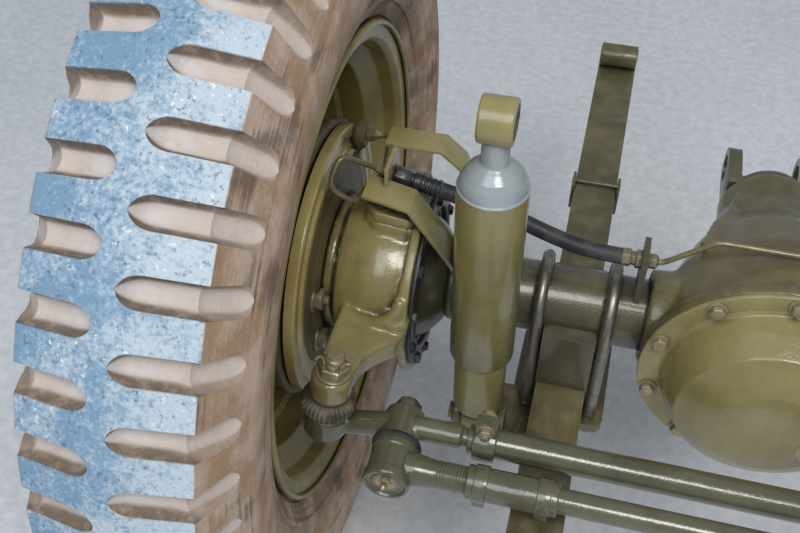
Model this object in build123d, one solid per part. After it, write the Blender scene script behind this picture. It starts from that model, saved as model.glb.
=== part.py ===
from build123d import *
import os
from math import atan2, cos, degrees, radians, sin, tan

# Front driving axle of a light 4x4 field car, with its steered wheels, springs and dampers.
# Millimetres. The origin is on the line of the wheel centres, midway between the wheels.
# The front faces -Y and +Z is up. One side is drawn, the left one at +X, and mirrored in YZ.

# Axle beam
TRACK = 1225.6
TUBE_RADIUS = 31.75
TUBE_WALL = 6.5
KINGPIN_X = 515.0
KINGPIN_LEAN = 7.5
CASTOR = 3.0
LOCK_ANGLE = 26.0
BALL_RADIUS = 68.0
BALL_WALL = 9.0
FIT = 0.3
RUNNING_GAP = 2.0

# Differential
DIFFERENTIAL_X = -178.0
COVER_RADIUS = 105.0
COVER_FACE_Y = -50.0
COVER_DEPTH = 50.0
COVER_SHEET = 4.0
COVER_STEP = 12.0
FLANGE_THICKNESS = 12.0
NECK_RADIUS = 44.0
NECK_REACH = 105.0
TUBE_SEAT = 35.0
NOSE_RADIUS = 46.0
NOSE_END_Y = 168.0
PINION_RADIUS = 21.0
YOKE_WIDTH = 82.0
YOKE_REACH = 50.0
YOKE_BORE_RADIUS = 13.5
YOKE_EAR_RADIUS = 21.0
YOKE_EAR_THICKNESS = 13.0
YOKE_GAP = 3.0
YOKE_HUB_HEIGHT = 20.0
YOKE_BRIDGE = 12.0
HOUSING_RIB = 8.0
HOUSING_RIB_HEIGHT = 9.0

# Knuckle
SHELL_INNER_RADIUS = 70.0
SHELL_RADIUS = 80.0
SHELL_REACH = 26.0
KNUCKLE_RIM_X = (478.0, 485.0)
KNUCKLE_RIM_RADIUS = 88.0
NECK_OUTER_RADIUS = 58.0
NECK_BORE_RADIUS = 44.0
KNUCKLE_FACE_X = 560.0
KNUCKLE_FLANGE_RADIUS = 62.0
KNUCKLE_FLANGE_THICKNESS = 8.0
PIN_RADIUS = 11.0
PIN_BOSS_HEIGHT = 83.0
CAP_HALF_LENGTH = 35.0
CAP_HALF_WIDTH = 24.0
CAP_END_HALF_WIDTH = 14.0
CAP_CORNER_Y = 25.0
CAP_POCKET_GAP = 1.5
CAP_THICKNESS = 10.0
SEAL_THICKNESS = 4.0
SEAL_RADIUS = 82.0
SEAL_BORE_RADIUS = 63.0
FELT_THICKNESS = 2.0

# Steering arm and linkage
ARM_EYE = (10.0, -150.0)
ARM_EYE_RADIUS = 14.0
ARM_EYE_BOTTOM = -6.5
ARM_EYE_HEIGHT = 26.0
ARM_ROOT = (0.0, -62.0)
ARM_ROOT_RADIUS = 24.0
ARM_THICKNESS = 24.0
STUD_RADIUS = 8.0
STUD_PLAY = 3.0
CASTLE_NUT_RADIUS = 12.5
CASTLE_NUT_HEIGHT = 17.0
STUD_TIP = 5.0
BOOT_RADIUS = 15.5
BOOT_HEIGHT = 19.6
BOOT_GAP = 0.4
SOCKET_RADIUS = 19.0
SOCKET_HEIGHT = 30.0
STUD_BALL_RADIUS = 11.0
OPEN_SOCKET_PLAY = 2.2
ROD_Y = -150.0
ROD_Z = -22.0
ROD_RADIUS = 12.5
ROD_END_X = 408.0
SHANK_RADIUS = 10.5
LINK_EYE_X = 464.0
LINK_EYE_RADIUS = 17.0
LINK_EYE_LENGTH = 30.0
LINK_Y = -186.0
LINK_Z = -28.0
LINK_SOCKET_RADIUS = 19.5
LINK_SOCKET_LENGTH = 36.0
LINK_RADIUS = 11.0
LINK_FAR_X = 225.0
LINK_STUD_RADIUS = 7.5
LINK_STUD_NUT_RADIUS = 11.5
LINK_STUD_NUT_HEIGHT = 11.0
LINK_STUD_TIP = 3.0
SLEEVE_RADIUS = 14.0
SLEEVE_SPAN = (50.0, 123.0)
SHANK_START_X = 12.0
SHANK_START_DROP = 1.0
SHANK_SINK = 2.5
SHANK_DROP = 4.0
SHANK_BEND_X = 14.0
SHANK_STRAIGHT_X = 16.0
SHANK_OVERLAP = 40.0
SHANK_SHOWN = 6.0
CLAMP_RADIUS = 16.5
CLAMP_LENGTH = 18.0
CLAMP_OFFSET = 14.0
CLAMP_LUG = (18.0, 12.0, 14.0)

# Springs
SPRING_X = 342.5
LEAF_WIDTH = 44.5
LEAF_THICKNESS = 5.0
SPRING_SEAT_Z = -64.0
SPRING_HALF_SPAN = 460.0
LEAF_SHARES = (1.0, 0.935, 0.804, 0.678, 0.557, 0.435, 0.317, 0.2)
SPRING_RISE = 12.0
SPRING_EYE_RADIUS = 14.5
SPRING_EYE_BORE_RADIUS = 7.25
SEAT_LENGTH = 92.0
CLIP_SHARE = 0.511
CLIP_WIDTH = 26.0
CLIP_SHEET = 4.0
U_BOLT_RADIUS = 5.5
U_BOLT_OFFSET = 30.0
U_BOLT_TAIL = 16.0
NUT_HEIGHT = 9.0
NUT_RADIUS = 10.0
PLATE_THICKNESS = 10.0
PLATE_LENGTH = 106.0

# Dampers
DAMPER_FOOT = (411.0, -85.0, -77.0)
DAMPER_HEAD = (415.0, -85.0, 252.0)
DAMPER_EYE_RADIUS = 17.0
DAMPER_EYE_WIDTH = 26.0
DAMPER_BORE_RADIUS = 8.0
DAMPER_TUBE_RADIUS = 22.0
DAMPER_COVER_RADIUS = 26.5
DAMPER_COVER_SHEET = 2.0
DAMPER_TUBE_SPAN = (18.0, 200.0)
DAMPER_COVER_SPAN = (92.0, 278.0)
DAMPER_ROD_RADIUS = 6.5
DAMPER_PIN_END_X = 436.0

# Wheels
SPINDLE_RADIUS = 21.0
SPINDLE_BORE_RADIUS = 15.0
SPINDLE_END_X = 688.0
SPINDLE_FLANGE_THICKNESS = 8.0
BACKING_SHEET = 3.0
BACKING_RADIUS = 126.0
BACKING_RIM_X = 573.0
DRUM_RADIUS = 125.0
DRUM_BORE_RADIUS = 114.3
DRUM_OPEN_X = 575.5
DRUM_BEAD = 4.0
WEB_X = 636.0
WEB_THICKNESS = 5.0
HUB_FLANGE_RADIUS = 84.0
HUB_FLANGE_THICKNESS = 8.0
HUB_BARREL_RADIUS = 38.0
HUB_NOSE_RADIUS = 35.0
HUB_END_X = 692.0
DRIVE_FLANGE_RADIUS = 44.0
DRIVE_FLANGE_THICKNESS = 9.0
STUD_CIRCLE_RADIUS = 69.85
WHEEL_STUDS = 5
WHEEL_STUD_RADIUS = 6.35
WHEEL_STUD_TIP = 22.0
WHEEL_NUT_RADIUS = 11.0
WHEEL_NUT_HEIGHT = 14.0
HUB_BEARING_GAP = 8.0
HUB_CAP_RADIUS = 26.0
HUB_CAP_HEIGHT = 13.0
THREAD_STEP = 3.0
THREAD_LENGTH = 20.0
DISC_SHEET = 5.0
DISC_BORE_RADIUS = 42.0
RIM_HALF_WIDTH = 57.15
RIM_SEAT_RADIUS = 202.8
RIM_FLANGE_RADIUS = 221.0
RIM_WELL_DEPTH = 18.8
RIM_SHEET = 4.0
RIM_LIP = 9.0
DISC_FLAT_MARGIN = 28.0
DISC_FOLD = 12.0
DISC_RIDGE_INSET = 43.0
DISC_FLANGE_LENGTH = 19.0
TYRE_RADIUS = 359.0
TREAD_DROP = 9.0
CROWN_THICKNESS = 29.0
TREAD_HALF_WIDTH = 60.0
SECTION_HALF_WIDTH = 79.5
TYRE_WALL = 12.0
BEAD_WIDTH = 17.0
BEAD_LIP_GAP = 1.1
LUG_PITCHES = 47
GROOVE_SHARE = 0.43
GROOVE_DEPTH = 14.0
GROOVE_START = 6.0
GROOVE_END_DROP = 24.0
GROOVE_END_SLOPE = 4.0
TREAD_TURN = 2.14

# Brakes
PIPE_RADIUS = 2.4
HOSE_RADIUS = 7.0
HOSE_BRACKET_X = 293.0
HOSE_BRACKET_SHEET = 5.0
HOSE_FITTING_Z = 66.0
BRACKET_HOLE_RADIUS = 6.0
BRACKET_WIDTH = 30.0
BRACKET_TOP = 4.0
FITTING_RADIUS = 8.5
FERRULE_RADIUS = 8.0
PIPE_BEND = 9.0
TEE_X = -30.0
TEE_SIZE = (24.0, 14.0, 16.0)
TEE_NECK_RADIUS = 7.5
TEE_NECK_HEIGHT = 24.0
PIPE_OVER_Z = 99.0
PIPE_OVER_HALF = 62.0
PIPE_RISE_X = 34.0
PIPE_STRAIGHT_X = 14.0
FLARE_NUT_RADIUS = 6.9
FLARE_NUT_LENGTH = 8.0
TEE_BORE_RADIUS = 4.0
INLET_BOSS_RADIUS = 11.0
CYLINDER_INLET = (552.0, 72.0, 92.0)
GUARD_SHEET = 3.0
GUARD_BRACKET_X = 511.0
GUARD_BRIDGE_HEIGHT = 16.0

# Hose guard straps: front y, rear y and the bent line (x, z) of each
GUARD_STRAPS = (
    (-36.0, -8.0, ((527.0, 116.0), (511.0, 113.0), (488.0, 107.5), (456.0, 62.0), (447.0, 47.0))),
    (14.0, 38.0, ((520.0, 133.0), (472.0, 133.0), (455.0, 118.0), (447.0, 95.0), (447.0, 47.0))),
)
# Hose fitting on the knuckle: (x, y, z) of its bracket end, its hexagon's end and its ferrule's end
FITTING_LINE = ((509.5, 5.0, 110.5), (486.0, 5.0, 105.0), (470.0, 5.0, 101.26))
# Steel pipe on the knuckle, (x, y, z)
PIPE_LOOP = (
    (512.5, 5.0, 111.2), (527.0, 0.0, 119.0), (548.0, -24.0, 147.0), (556.0, -34.0, 118.0),
    (534.0, -27.0, 99.5), (522.0, 16.0, 101.0), (530.0, 72.0, 96.5), (551.0, 72.0, 92.0),
)
# Brake hose centre line, (x, y, z)
HOSE_ROUTE = (
    (469.6, 5.0, 101.17), (438.0, 5.0, 93.77), (404.0, 9.0, 80.0), (370.0, 6.0, 69.0),
    (338.0, 0.0, 66.0), (312.0, 0.0, 66.0),
)

OUTPUT = "parts"
WHEEL_X = TRACK / 2
ALONG_X = Plane(origin=(0, 0, 0), x_dir=(0, 1, 0), z_dir=(1, 0, 0))
DIFFERENTIAL = Plane(origin=(DIFFERENTIAL_X, 0, 0), x_dir=(1, 0, 0), z_dir=(0, 1, 0))
KINGPIN = Plane(
    origin=(KINGPIN_X, 0, 0),
    x_dir=(1, 0, tan(radians(KINGPIN_LEAN))),
    z_dir=(-tan(radians(KINGPIN_LEAN)), tan(radians(CASTOR)), 1),
)
FAR = 400.0


def turned(outline, place):
    """Solid turned about a plane's axis from a closed (radius, height) outline."""
    return place * revolve(make_face(Plane.XZ * Polyline(*outline, close=True)), Axis.Z)


def tube_along_x(x_from, x_to, radius, bore=0.0):
    """Round bar or tube about the wheel axis."""
    outline = [(bore, x_from), (radius, x_from), (radius, x_to), (bore, x_to)]
    return turned(outline, ALONG_X)


def bar(start, end, radius, bore=0.0):
    """Round bar or tube between two points."""
    axis = Plane(origin=start, z_dir=Vector(*end) - Vector(*start))
    length = (Vector(*end) - Vector(*start)).length
    outline = [(bore, 0), (radius, 0), (radius, length), (bore, length)]
    return turned(outline, axis)


def slab_x(x_from, x_to, size=FAR):
    """Block between two planes across the wheel axis."""
    return Pos((x_from + x_to) / 2, 0, 0) * Box(x_to - x_from, size, size)


def hexagon(plane, radius, height):
    """Hexagonal nut body standing on a plane."""
    return extrude(plane * RegularPolygon(radius, 6), height)


def pipe(points, bend_radius, radius):
    """Bent round pipe along straight runs with equal bends."""
    path = FilletPolyline(*points, radius=bend_radius)
    section = Plane(origin=path @ 0, z_dir=path % 0) * Circle(radius)
    return sweep(section, path=path)


def strip_outline(points, sheet):
    """Outline of a bent strip of even thickness about an open line, mitred at its bends."""
    line = [Vector(*point) for point in points]
    runs = [(after - before).normalized() for before, after in zip(line, line[1:])]
    sides = []
    for index, point in enumerate(line):
        run_in = runs[max(index - 1, 0)]
        run_out = runs[min(index, len(runs) - 1)]
        middle = (run_in + run_out).normalized()
        across = Vector(-middle.Y, middle.X) * (sheet / 2 / middle.dot(run_in))
        sides.append((point + across, point - across))
    outline = [left for left, _ in sides] + [right for _, right in reversed(sides)]
    return make_face(Polyline(*outline, close=True))


def leaf_rise(y):
    """How far the main leaf's top stands above its middle at a distance along the spring."""
    return y ** 2 / SPRING_HALF_SPAN ** 2 * SPRING_RISE


def axle_tube(inner_x):
    """Tube from the differential out to the hollow ball, with the spring seat and hose bracket."""
    ball_centre = Pos(KINGPIN_X, 0, 0)
    beam = tube_along_x(inner_x, KINGPIN_X, TUBE_RADIUS) + ball_centre * Sphere(BALL_RADIUS)
    seat_height = -SPRING_SEAT_Z - leaf_rise(SEAT_LENGTH / 2)
    seat = Box(LEAF_WIDTH + 1.5, SEAT_LENGTH, seat_height, align=(Align.CENTER, Align.CENTER, Align.MAX))
    beam += Pos(SPRING_X, 0, 0) * seat
    bracket_height = HOSE_FITTING_Z + FITTING_RADIUS + BRACKET_TOP
    bracket = Pos(HOSE_BRACKET_X, 0, bracket_height / 2) * Box(HOSE_BRACKET_SHEET, BRACKET_WIDTH, bracket_height)
    hole_from, hole_to = HOSE_BRACKET_X - HOSE_BRACKET_SHEET, HOSE_BRACKET_X + HOSE_BRACKET_SHEET
    bracket -= bar((hole_from, 0, HOSE_FITTING_Z), (hole_to, 0, HOSE_FITTING_Z), BRACKET_HOLE_RADIUS)
    beam += bracket
    beam -= tube_along_x(inner_x - 1, KINGPIN_X, TUBE_RADIUS - TUBE_WALL)
    beam -= ball_centre * Sphere(BALL_RADIUS - BALL_WALL)
    beam -= KINGPIN * Cylinder(PIN_RADIUS + FIT, FAR)
    for turn in (-LOCK_ANGLE, 0, LOCK_ANGLE):
        mouth = Pos(SHELL_REACH - RUNNING_GAP - 0.5, 0, 0) * Box(
            FAR, FAR, FAR, align=(Align.MIN, Align.CENTER, Align.CENTER)
        )
        lean = KINGPIN.location
        beam -= lean * Rot(0, 0, turn) * lean.inverse() * ball_centre * mouth
    return beam


def differential_housing():
    """Cast housing with the cover face to the front and the pinion nose to the rear."""
    outline = [
        (0, COVER_FACE_Y), (COVER_RADIUS, COVER_FACE_Y), (COVER_RADIUS, COVER_FACE_Y + FLANGE_THICKNESS),
        (COVER_RADIUS - 11, COVER_FACE_Y + 1.5 * FLANGE_THICKNESS), (0.86 * COVER_RADIUS, NOSE_END_Y / 6),
        (0.69 * COVER_RADIUS, 0.44 * NOSE_END_Y), (NOSE_RADIUS + 8, 0.64 * NOSE_END_Y),
        (NOSE_RADIUS, 0.82 * NOSE_END_Y), (NOSE_RADIUS, NOSE_END_Y), (0, NOSE_END_Y),
    ]
    body = turned(outline, DIFFERENTIAL)
    ribs = [
        (0, COVER_FACE_Y + 1.5 * FLANGE_THICKNESS), (0.86 * COVER_RADIUS + HOUSING_RIB_HEIGHT, NOSE_END_Y / 6),
        (0.69 * COVER_RADIUS + HOUSING_RIB_HEIGHT, 0.44 * NOSE_END_Y),
        (NOSE_RADIUS + 8 + HOUSING_RIB_HEIGHT, 0.64 * NOSE_END_Y), (NOSE_RADIUS, 0.9 * NOSE_END_Y),
        (0, 0.9 * NOSE_END_Y),
    ]
    for turn in (45, 135, 225, 315):
        rib = extrude(make_face(Plane.XZ * Polyline(*ribs, close=True)), HOUSING_RIB / 2, both=True)
        body += DIFFERENTIAL * Rot(0, 0, turn) * rib
    neck = [(0, -NECK_REACH), (NECK_RADIUS - 3, -NECK_REACH), (NECK_RADIUS + 4, 0),
            (NECK_RADIUS - 3, NECK_REACH), (0, NECK_REACH)]
    across = Plane(origin=(DIFFERENTIAL_X, 0, 0), x_dir=(0, 1, 0), z_dir=(1, 0, 0))
    body += turned(neck, across)
    mouth = 0.8 * COVER_RADIUS
    hollow = [
        (0, COVER_FACE_Y - 1), (mouth, COVER_FACE_Y - 1), (mouth, 0.12 * NOSE_END_Y),
        (0.59 * COVER_RADIUS, 0.39 * NOSE_END_Y), (PINION_RADIUS + 10, 0.6 * NOSE_END_Y),
        (PINION_RADIUS + FIT, 0.62 * NOSE_END_Y), (PINION_RADIUS + FIT, NOSE_END_Y + 1), (0, NOSE_END_Y + 1),
    ]
    body -= turned(hollow, DIFFERENTIAL)
    body -= across * Cylinder(TUBE_RADIUS + FIT, 2 * NECK_REACH + 2)
    return body


def differential_cover():
    """Domed sheet cover on the housing's front face."""
    front = COVER_FACE_Y - COVER_DEPTH
    sheet = COVER_SHEET
    crown, shoulder, foot = 0.44 * COVER_RADIUS, 0.7 * COVER_RADIUS, 0.82 * COVER_RADIUS
    outer = [
        (0, front), (crown, front), (shoulder, front + COVER_STEP), (foot, COVER_FACE_Y - sheet),
        (COVER_RADIUS, COVER_FACE_Y - sheet), (COVER_RADIUS, COVER_FACE_Y),
        (foot - sheet, COVER_FACE_Y), (shoulder - 0.75 * sheet, front + COVER_STEP + sheet),
        (crown - 0.25 * sheet, front + sheet), (0, front + sheet),
    ]
    return turned(outer, DIFFERENTIAL)


def pinion_yoke():
    """Yoke on the pinion shaft, with two bored ears for the propeller shaft's joint."""
    seat_y = NOSE_END_Y + YOKE_GAP
    hub_y = seat_y + YOKE_HUB_HEIGHT
    inner_y = 0.64 * NOSE_END_Y
    seat_radius = 0.74 * NOSE_RADIUS
    hub = [
        (0, inner_y), (PINION_RADIUS, inner_y), (PINION_RADIUS, seat_y), (seat_radius, seat_y),
        (seat_radius, hub_y - 6), (seat_radius - 8, hub_y), (0, hub_y),
    ]
    yoke = turned(hub, DIFFERENTIAL)
    ear_y = seat_y + YOKE_REACH
    half = YOKE_WIDTH / 2
    cheek_y = seat_y + YOKE_BRIDGE / 3
    cheek_length = YOKE_REACH - YOKE_BRIDGE / 3
    yoke += Pos(DIFFERENTIAL_X, cheek_y + YOKE_BRIDGE / 2, 0) * Box(YOKE_WIDTH, YOKE_BRIDGE, 2 * YOKE_EAR_RADIUS)
    for side in (-1, 1):
        x_middle = DIFFERENTIAL_X + side * (half - YOKE_EAR_THICKNESS / 2)
        cheek = Box(YOKE_EAR_THICKNESS, cheek_length, 2 * YOKE_EAR_RADIUS)
        yoke += Pos(x_middle, cheek_y + cheek_length / 2, 0) * cheek
        yoke += Pos(x_middle, ear_y, 0) * Rot(0, 90, 0) * Cylinder(YOKE_EAR_RADIUS, YOKE_EAR_THICKNESS)
    yoke -= Pos(DIFFERENTIAL_X, ear_y, 0) * Rot(0, 90, 0) * Cylinder(YOKE_BORE_RADIUS, YOKE_WIDTH + 2)
    return yoke


def spring_arc_centre():
    """Height of the centre of the leaves' arcs and the radius of the main leaf's top."""
    radius = (SPRING_HALF_SPAN ** 2 + SPRING_RISE ** 2) / (2 * SPRING_RISE)
    return SPRING_SEAT_Z + radius, radius


def leaf_spring():
    """Leaf pack under the axle: stepped leaves on one arc, rolled eyes and two clips."""
    centre_z, top_radius = spring_arc_centre()
    half_lengths = [share * SPRING_HALF_SPAN for share in LEAF_SHARES]
    clip_y = CLIP_SHARE * SPRING_HALF_SPAN

    def on_arc(half_length, radius):
        angle = half_length / top_radius
        return (radius * sin(angle), centre_z - radius * cos(angle))

    edges = []
    last = len(LEAF_SHARES) - 1
    for side in (-1, 1):
        for index, half_length in enumerate(half_lengths):
            upper = top_radius + index * LEAF_THICKNESS
            lower = upper + LEAF_THICKNESS
            y_upper, z_upper = on_arc(half_length, upper)
            y_lower, z_lower = on_arc(half_length, lower)
            edges.append(Line((side * y_upper, z_upper), (side * y_lower, z_lower)))
            if index < last:
                y_next, z_next = on_arc(half_lengths[index + 1], lower)
                middle = (half_length + half_lengths[index + 1]) / 2
                y_mid, z_mid = on_arc(middle, lower)
                edges.append(
                    ThreePointArc((side * y_lower, z_lower), (side * y_mid, z_mid), (side * y_next, z_next))
                )
    for half_length, radius in (
        (half_lengths[0], top_radius),
        (half_lengths[-1], top_radius + len(LEAF_SHARES) * LEAF_THICKNESS),
    ):
        y_end, z_end = on_arc(half_length, radius)
        edges.append(ThreePointArc((-y_end, z_end), (0, centre_z - radius), (y_end, z_end)))
    across = Plane(origin=(SPRING_X - LEAF_WIDTH / 2, 0, 0), x_dir=(0, 1, 0), z_dir=(1, 0, 0))
    pack = extrude(across * make_face(edges), LEAF_WIDTH)
    for side in (-1, 1):
        y_eye, z_eye = on_arc(SPRING_HALF_SPAN, top_radius - SPRING_EYE_RADIUS + LEAF_THICKNESS)
        eye = across * Pos(side * y_eye, z_eye, 0) * Cylinder(
            SPRING_EYE_RADIUS, LEAF_WIDTH, align=(Align.CENTER, Align.CENTER, Align.MIN)
        )
        bore = across * Pos(side * y_eye, z_eye, -1) * Cylinder(
            SPRING_EYE_BORE_RADIUS, LEAF_WIDTH + 2, align=(Align.CENTER, Align.CENTER, Align.MIN)
        )
        pack = pack + eye - bore
        clip_leaves = sum(1 for half_length in half_lengths if half_length > clip_y)
        height = clip_leaves * LEAF_THICKNESS
        y_clip, z_clip = on_arc(clip_y, top_radius + height / 2)
        tilt = degrees(clip_y / top_radius)
        clip = Box(LEAF_WIDTH + 2 * CLIP_SHEET, CLIP_WIDTH, height + 2 * CLIP_SHEET)
        pack += Pos(SPRING_X, side * y_clip, z_clip) * Rot(side * tilt, 0, 0) * clip
    return pack


def spring_base_z():
    """Underside of the leaf pack at the axle."""
    return SPRING_SEAT_Z - len(LEAF_SHARES) * LEAF_THICKNESS


def u_bolts():
    """Two U-bolts over the tube, with their nuts under the plate."""
    reach_y = TUBE_RADIUS + FIT + U_BOLT_RADIUS
    plate_bottom = spring_base_z() - PLATE_THICKNESS
    pair = []
    for side in (-1, 1):
        x_bolt = SPRING_X + side * U_BOLT_OFFSET
        across = Plane(origin=(x_bolt, 0, 0), x_dir=(0, 1, 0), z_dir=(1, 0, 0))
        tail_z = plate_bottom - U_BOLT_TAIL
        path = across * (
            Line((-reach_y, tail_z), (-reach_y, 0))
            + ThreePointArc((-reach_y, 0), (0, reach_y), (reach_y, 0))
            + Line((reach_y, 0), (reach_y, tail_z))
        )
        section = Plane(origin=(x_bolt, -reach_y, tail_z), z_dir=(0, 0, 1)) * Circle(U_BOLT_RADIUS)
        bolt = sweep(section, path=path)
        for y_leg in (-reach_y, reach_y):
            nut_place = Plane(origin=(x_bolt, y_leg, plate_bottom - NUT_HEIGHT))
            bolt += hexagon(nut_place, NUT_RADIUS, NUT_HEIGHT)
        pair.append(bolt)
    return Compound(pair)


def spring_plate():
    """Plate under the springs with the damper's pin on its forward arm."""
    top = spring_base_z()
    reach_y = TUBE_RADIUS + FIT + U_BOLT_RADIUS
    half_width = U_BOLT_OFFSET + NUT_RADIUS + 3
    foot_x, foot_y, foot_z = DAMPER_FOOT
    arm_x = foot_x - DAMPER_EYE_WIDTH / 2 - FIT
    arm_width = 12.0
    plate = Pos(SPRING_X, 0, top - PLATE_THICKNESS / 2) * Box(2 * half_width, PLATE_LENGTH, PLATE_THICKNESS)
    plate = fillet(plate.edges().filter_by(Axis.Z), 8.0)
    arm_back = -PLATE_LENGTH / 2 + 30
    arm_front = foot_y - 15
    inner = SPRING_X + half_width - 26
    plate += Pos((inner + arm_x) / 2, (arm_back + arm_front) / 2, top - PLATE_THICKNESS / 2) * Box(
        arm_x - inner, arm_back - arm_front, PLATE_THICKNESS
    )
    web_top = foot_z + 14
    web_bottom = top - PLATE_THICKNESS
    plate += Pos(arm_x - arm_width / 2, foot_y, (web_top + web_bottom) / 2) * Box(
        arm_width, 30, web_top - web_bottom
    )
    for x_sign in (-1, 1):
        for y_leg in (-reach_y, reach_y):
            x_bolt = SPRING_X + x_sign * U_BOLT_OFFSET
            plate -= Pos(x_bolt, y_leg, top) * Cylinder(U_BOLT_RADIUS + FIT, 4 * PLATE_THICKNESS)
    plate += bar((arm_x - 1, foot_y, foot_z), (DAMPER_PIN_END_X, foot_y, foot_z), DAMPER_BORE_RADIUS - FIT)
    nut_x = foot_x + DAMPER_EYE_WIDTH / 2 + FIT
    plate += bar((nut_x, foot_y, foot_z), (nut_x + 7, foot_y, foot_z), 12.5)
    return plate


def damper_axis():
    """Plane at the damper's lower eye with its axis along the damper."""
    direction = Vector(*DAMPER_HEAD) - Vector(*DAMPER_FOOT)
    return Plane(origin=DAMPER_FOOT, x_dir=(0, 1, 0), z_dir=direction)


def damper_eye(centre):
    """Outer form and bore of a damper eye along the wheel axis."""
    x, y, z = centre
    half = DAMPER_EYE_WIDTH / 2
    ring = bar((x - half, y, z), (x + half, y, z), DAMPER_EYE_RADIUS)
    bore = bar((x - half - 1, y, z), (x + half + 1, y, z), DAMPER_BORE_RADIUS)
    return ring, bore


def damper_tube():
    """Damper's lower tube and eye."""
    axis = damper_axis()
    low, high = DAMPER_TUBE_SPAN
    ring, bore = damper_eye(DAMPER_FOOT)
    body = turned([(0, 8), (11, 8), (12, low - 4), (DAMPER_TUBE_RADIUS - 5, low), (DAMPER_TUBE_RADIUS, low + 7),
                   (DAMPER_TUBE_RADIUS, high), (0, high)], axis)
    return ring + body - bore


def damper_cover():
    """Damper's dust cover, top cap, rod and upper eye."""
    axis = damper_axis()
    low, high = DAMPER_COVER_SPAN
    length = (Vector(*DAMPER_HEAD) - Vector(*DAMPER_FOOT)).length
    tube_top = DAMPER_TUBE_SPAN[1]
    outer = DAMPER_COVER_RADIUS
    inner = outer - DAMPER_COVER_SHEET
    ring, bore = damper_eye(DAMPER_HEAD)
    outline = [
        (outer, low), (outer, high - 2), (outer - 3, high), (outer - 5, high + 8), (outer - 13, high + 16),
        (DAMPER_ROD_RADIUS + 3, high + 19), (DAMPER_ROD_RADIUS + 3, length - 12), (0, length - 12),
        (0, tube_top + FIT), (DAMPER_ROD_RADIUS, tube_top + FIT), (DAMPER_ROD_RADIUS, high - 3),
        (inner, high - 3), (inner, low),
    ]
    return turned(outline, axis) + ring - bore


def cap_outline(margin):
    """Flat outline of a kingpin cap: a lozenge with blunt ends, grown by a margin."""
    end_x, side_x = CAP_END_HALF_WIDTH + margin, CAP_HALF_WIDTH + margin
    end_y, corner_y = CAP_HALF_LENGTH + margin, CAP_CORNER_Y
    return make_face(Polyline(
        (-end_x, -end_y), (end_x, -end_y), (side_x, -corner_y), (side_x, corner_y),
        (end_x, end_y), (-end_x, end_y), (-side_x, corner_y), (-side_x, -corner_y), close=True))


def knuckle():
    """Outer knuckle casting: shell over the ball, spindle flange, pin bosses and steering arm."""
    centre = Pos(KINGPIN_X, 0, 0)
    rim_in, rim_out = KNUCKLE_RIM_X
    step_x = KINGPIN_X + SHELL_REACH + (SHELL_RADIUS - SHELL_INNER_RADIUS) / 2
    body = centre * Sphere(SHELL_RADIUS) & slab_x(rim_in, step_x)
    body += tube_along_x(rim_in, rim_out, KNUCKLE_RIM_RADIUS)
    body += tube_along_x(step_x - 4, KNUCKLE_FACE_X, NECK_OUTER_RADIUS)
    body += tube_along_x(KNUCKLE_FACE_X - KNUCKLE_FLANGE_THICKNESS, KNUCKLE_FACE_X, KNUCKLE_FLANGE_RADIUS)
    for sign in (-1, 1):
        low = min(sign * PIN_BOSS_HEIGHT, sign * (PIN_BOSS_HEIGHT - 33))
        body += KINGPIN * Pos(0, 0, low) * extrude(cap_outline(0), 33)
        pocket_low = min(sign * PIN_BOSS_HEIGHT, sign * (PIN_BOSS_HEIGHT + 30))
        body -= KINGPIN * Pos(0, 0, pocket_low) * extrude(cap_outline(CAP_POCKET_GAP), 30)
    arm_bottom = ARM_EYE_BOTTOM + (ARM_EYE_HEIGHT - ARM_THICKNESS) / 2
    outline = make_hull(
        (Pos(*ARM_EYE) * Circle(ARM_EYE_RADIUS)).edges() + (Pos(*ARM_ROOT) * Circle(ARM_ROOT_RADIUS)).edges()
    )
    body += KINGPIN * Pos(0, 0, arm_bottom) * extrude(outline, ARM_THICKNESS)
    body += KINGPIN * Pos(*ARM_EYE, ARM_EYE_BOTTOM) * Cylinder(
        ARM_EYE_RADIUS, ARM_EYE_HEIGHT, align=(Align.CENTER, Align.CENTER, Align.MIN)
    )
    cavity = centre * Sphere(SHELL_INNER_RADIUS) & slab_x(rim_in - 1, KINGPIN_X + SHELL_REACH)
    body -= cavity
    body -= tube_along_x(KINGPIN_X, KNUCKLE_FACE_X + 1, NECK_BORE_RADIUS)
    body -= KINGPIN * Cylinder(PIN_RADIUS + FIT, FAR)
    body -= KINGPIN * Pos(*ARM_EYE, 0) * Cylinder(STUD_RADIUS + FIT, 4 * ARM_EYE_HEIGHT)
    return body


def kingpin_caps():
    """Upper and lower bearing caps with their pins."""
    caps = []
    for sign in (-1, 1):
        foot = sign * PIN_BOSS_HEIGHT
        low = min(foot, foot + sign * CAP_THICKNESS)
        cap = Pos(0, 0, low) * extrude(cap_outline(0), CAP_THICKNESS)
        pin_end = sign * (BALL_RADIUS - BALL_WALL)
        middle = (foot + pin_end) / 2
        cap += Pos(0, 0, middle) * Cylinder(PIN_RADIUS, abs(foot - pin_end))
        caps.append(KINGPIN * cap)
    return Compound(caps)


def seal_ring():
    """Split retainer ring of the ball's seal."""
    rim_in = KNUCKLE_RIM_X[0]
    ring = tube_along_x(rim_in - SEAL_THICKNESS, rim_in, SEAL_RADIUS, SEAL_BORE_RADIUS)
    felt = tube_along_x(rim_in - FELT_THICKNESS, rim_in, SEAL_BORE_RADIUS + 1)
    felt -= Pos(KINGPIN_X, 0, 0) * Sphere(BALL_RADIUS + FIT)
    return ring + felt


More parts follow.
